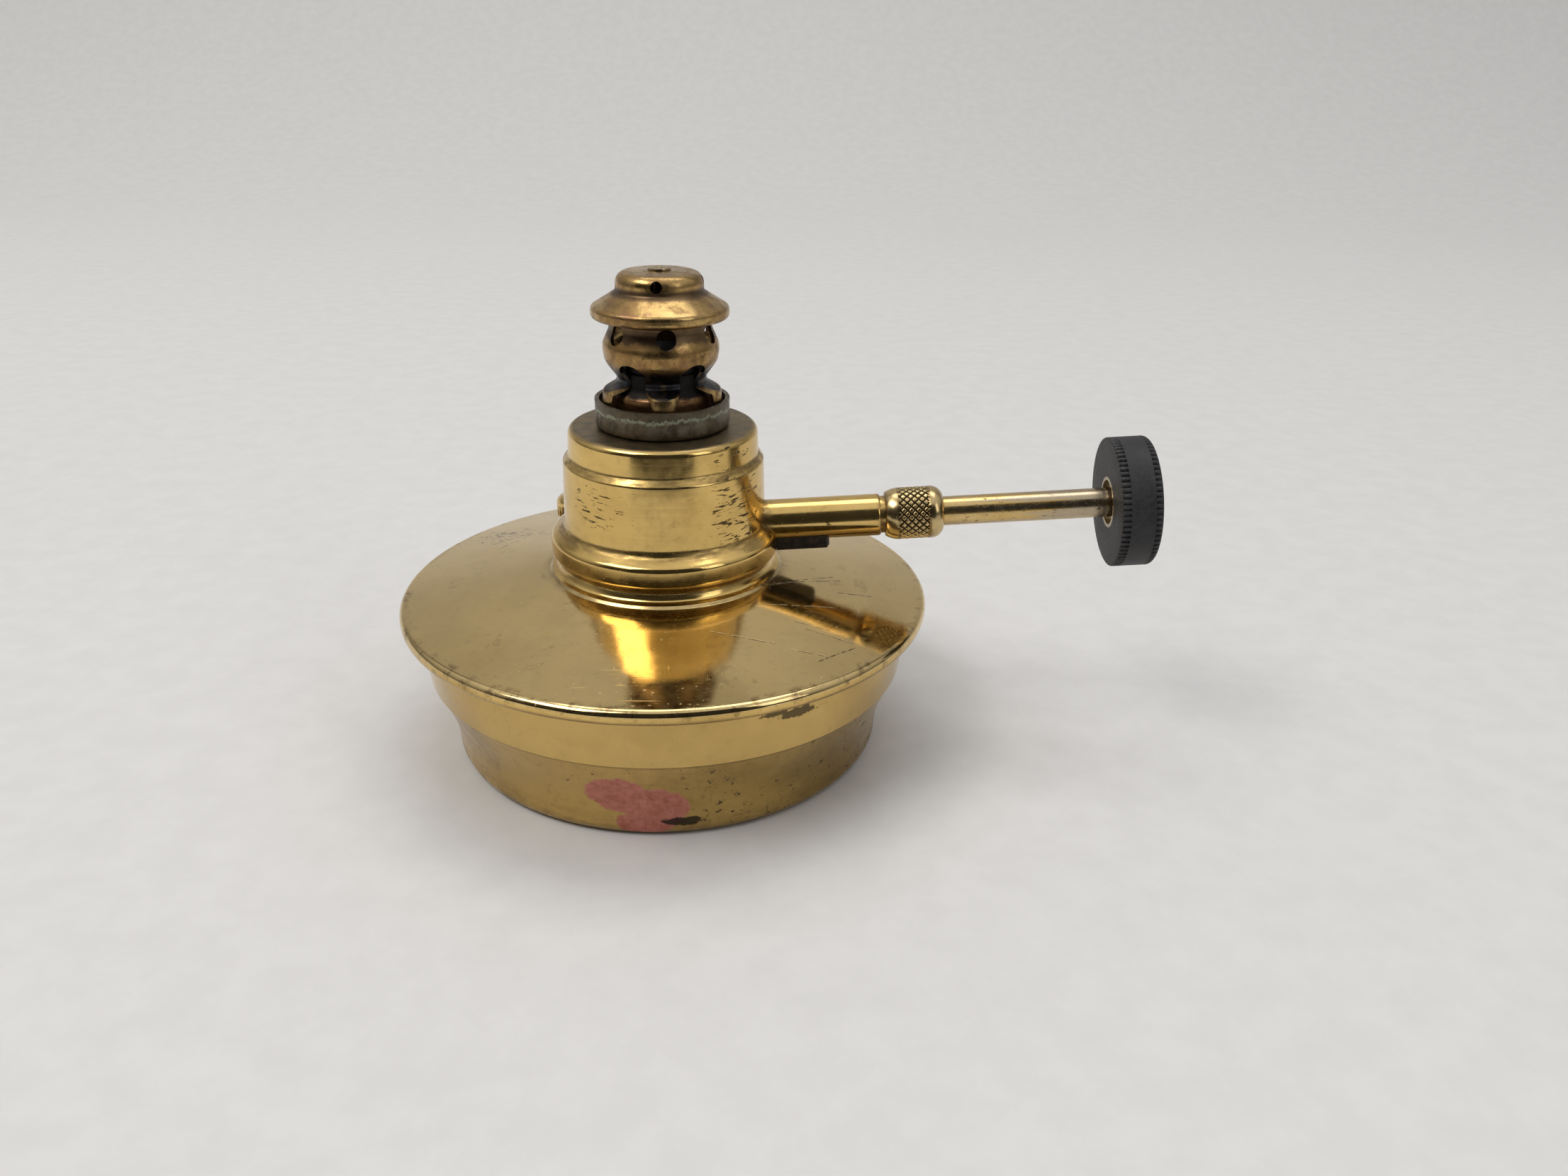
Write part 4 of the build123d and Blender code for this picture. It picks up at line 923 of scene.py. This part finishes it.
cap_bore, cap_edge_height = FILLER_NECK_RADIUS + FIT, CAP_TOP - CAP_EDGE
cap_loop = [(cap_bore, CAP_LIFT), (CAP_RADIUS - 0.05, CAP_LIFT), (CAP_RADIUS, CAP_LIFT + 0.07)]
cap_loop += [(CAP_RADIUS, z)
             for z in (1.5, CAP_GRIP_TOP - 0.02, CAP_GRIP_TOP + 0.02, cap_edge_height)]
cap_loop += corner(CAP_RADIUS - CAP_EDGE, cap_edge_height, CAP_EDGE, range(10, 91, 10))
cap_loop += [(0, CAP_TOP), (0, CAP_CEILING), (cap_bore, CAP_CEILING)]
cap = lathe("cap_skin", cap_loop, "cap", 360, filler_m, cap_grip, 40)
dress(cap, "filler", "filler_brass", "filler_cap")

# ---- CAD pieces that stay, with their own surfaces ----
for node, key in (("filler_neck", "filler"), ("filler_washer", "rubber"), ("tube_saddle", "saddle"),
                  ("wick_tube", "inner"), ("valve_body", "inner"), ("jet_nozzle", "jet"),
                  ("jet_washer", "copper"), ("wick", "cotton"), ("packing_ring", "fibre"),
                  ("packing_washer", "inner"), ("valve_needle", "steel"), ("baffle_disc", "head"),
                  ("flame_gauze", "gauze")):
    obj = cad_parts[node]
    obj.data.materials.clear()
    obj.data.materials.append(mats[key])

# ---- camera of the photograph ----
VIEW_PITCH, VIEW_ROLL = radians(24.15), radians(1.05)
VIEW_PLACE = (23.1, -213.1, 125.3)  # mm
SENSOR, PHOTO_FOCAL, PHOTO_WIDTH = 36.0, 1665, 2212  # mm, and the photograph's pixels

forward = Vector((0, cos(VIEW_PITCH), -sin(VIEW_PITCH)))
level, upright = Vector((1, 0, 0)), Vector((0, sin(VIEW_PITCH), cos(VIEW_PITCH)))
right = level * cos(VIEW_ROLL) + upright * sin(VIEW_ROLL)
up = upright * cos(VIEW_ROLL) - level * sin(VIEW_ROLL)
lens = bpy.data.cameras.new("camera")
lens.sensor_width, lens.lens, lens.clip_start = SENSOR, SENSOR * PHOTO_FOCAL / PHOTO_WIDTH, 0.005
camera = bpy.data.objects.new("camera", lens)
camera.matrix_world = Matrix((right, up, -forward)).transposed().to_4x4()
camera.location = Vector(VIEW_PLACE) * MM
bpy.context.scene.collection.objects.link(camera)
bpy.context.scene.camera = camera

# ---- floor and backdrop: one sheet that bends up into a wall, in metres ----
FLOOR_FRONT, FLOOR_STEP, FLOOR_STEPS, FLOOR_HALF_WIDTH = -1.6, 0.1, 24, 2.2
SWEEP_START, SWEEP_RADIUS, WALL_TOP = 0.8, 0.6, 2.4

floor_paint = Paint("floor_pale", 0.0)
grain = floor_paint.noise(floor_paint.mm, 0.12, 5.0, 0.6)
tone = floor_paint.mix(floor_paint.span(grain, 0.3, 0.7), (0.70, 0.69, 0.675), (0.735, 0.725, 0.71))
floor_paint.finish(tone, 0.6, [(grain, 0.15, 0.3)])
sweep = [(FLOOR_FRONT + FLOOR_STEP * i, 0.0) for i in range(FLOOR_STEPS + 1)]
sweep += corner(SWEEP_START, SWEEP_RADIUS, SWEEP_RADIUS, range(-84, 1, 6))
sweep += [(SWEEP_START + SWEEP_RADIUS, WALL_TOP)]
verts = [(x / MM, y / MM, z / MM) for y, z in sweep for x in (-FLOOR_HALF_WIDTH, FLOOR_HALF_WIDTH)]
faces = [[2 * i, 2 * i + 1, 2 * i + 3, 2 * i + 2] for i in range(len(sweep) - 1)]
floor = placed("floor", verts, faces, None)
floor.data.materials.append(floor_paint.mat)

# ---- the dark room behind the viewer, which only reflections see ----
CARD_LEFT, CARD_RIGHT, CARD_NEAR, CARD_FAR, CARD_TOP = -170, 230, -262, -300, 430
card = placed("dark_card", [(CARD_LEFT, CARD_NEAR, 0), (CARD_RIGHT, CARD_NEAR, 0),
                            (CARD_RIGHT, CARD_FAR, CARD_TOP), (CARD_LEFT, CARD_FAR, CARD_TOP)],
              [[0, 1, 2, 3]], None)
card_dark = plain("card_dark", (0.02, 0.02, 0.02), (0.03, 0.03, 0.03), (0.8, 0.9), 0.0)
card.data.materials.append(card_dark)
card.visible_camera = card.visible_diffuse = card.visible_shadow = False

# ---- light ----


def lamp(name, where, aim, size, power, colour=(1, 1, 1)):
    """Rectangular lamp, in metres and watts."""
    light = bpy.data.lights.new(name, "AREA")
    light.shape, light.size, light.size_y = "RECTANGLE", size[0], size[1]
    light.energy, light.color = power, colour
    obj = bpy.data.objects.new(name, light)
    obj.location = where
    obj.rotation_euler = (Vector(aim) - Vector(where)).to_track_quat("-Z", "Y").to_euler()
    bpy.context.scene.collection.objects.link(obj)


lamp("key", (-1.1, -0.7, 1.9), (0, 0, 0.03), (1.3, 0.9), 19.0, (1.0, 0.98, 0.95))
lamp("fill", (1.5, -1.1, 1.1), (0, 0, 0.03), (0.7, 1.2), 4.5, (0.97, 0.98, 1.0))
lamp("top", (0.1, 0.6, 2.2), (0, 0.1, 0.0), (1.8, 0.9), 11.0)

# the sky is bright overhead, and dark low down on the viewer's side
world = bpy.data.worlds.new("studio")
bpy.context.scene.world = world
world.use_nodes = True
sky = Nodes(world.node_tree)
direction = sky.node("ShaderNodeTexCoord").outputs["Generated"]
_, y, z = sky.node("ShaderNodeSeparateXYZ", {0: direction}).outputs
ramp = sky.node("ShaderNodeValToRGB", {0: sky.math("MULTIPLY_ADD", z, 0.5, 0.5)})
low, high = ramp.color_ramp.elements
low.position, low.color = 0.45, (0.10, 0.095, 0.09, 1)
high.position, high.color = 0.92, (0.75, 0.75, 0.76, 1)
ramp.color_ramp.elements.new(0.62).color = (0.30, 0.29, 0.28, 1)
front = sky.times(sky.span(y, -0.15, -0.6), sky.span(z, 0.85, 0.6))
room = sky.mix(front, ramp.outputs[0], (0.035, 0.033, 0.032))
background = sky.node("ShaderNodeBackground", {0: room})
sky.node("ShaderNodeOutputWorld", {0: background.outputs[0]})

bpy.context.scene.view_settings.view_transform = "Standard"
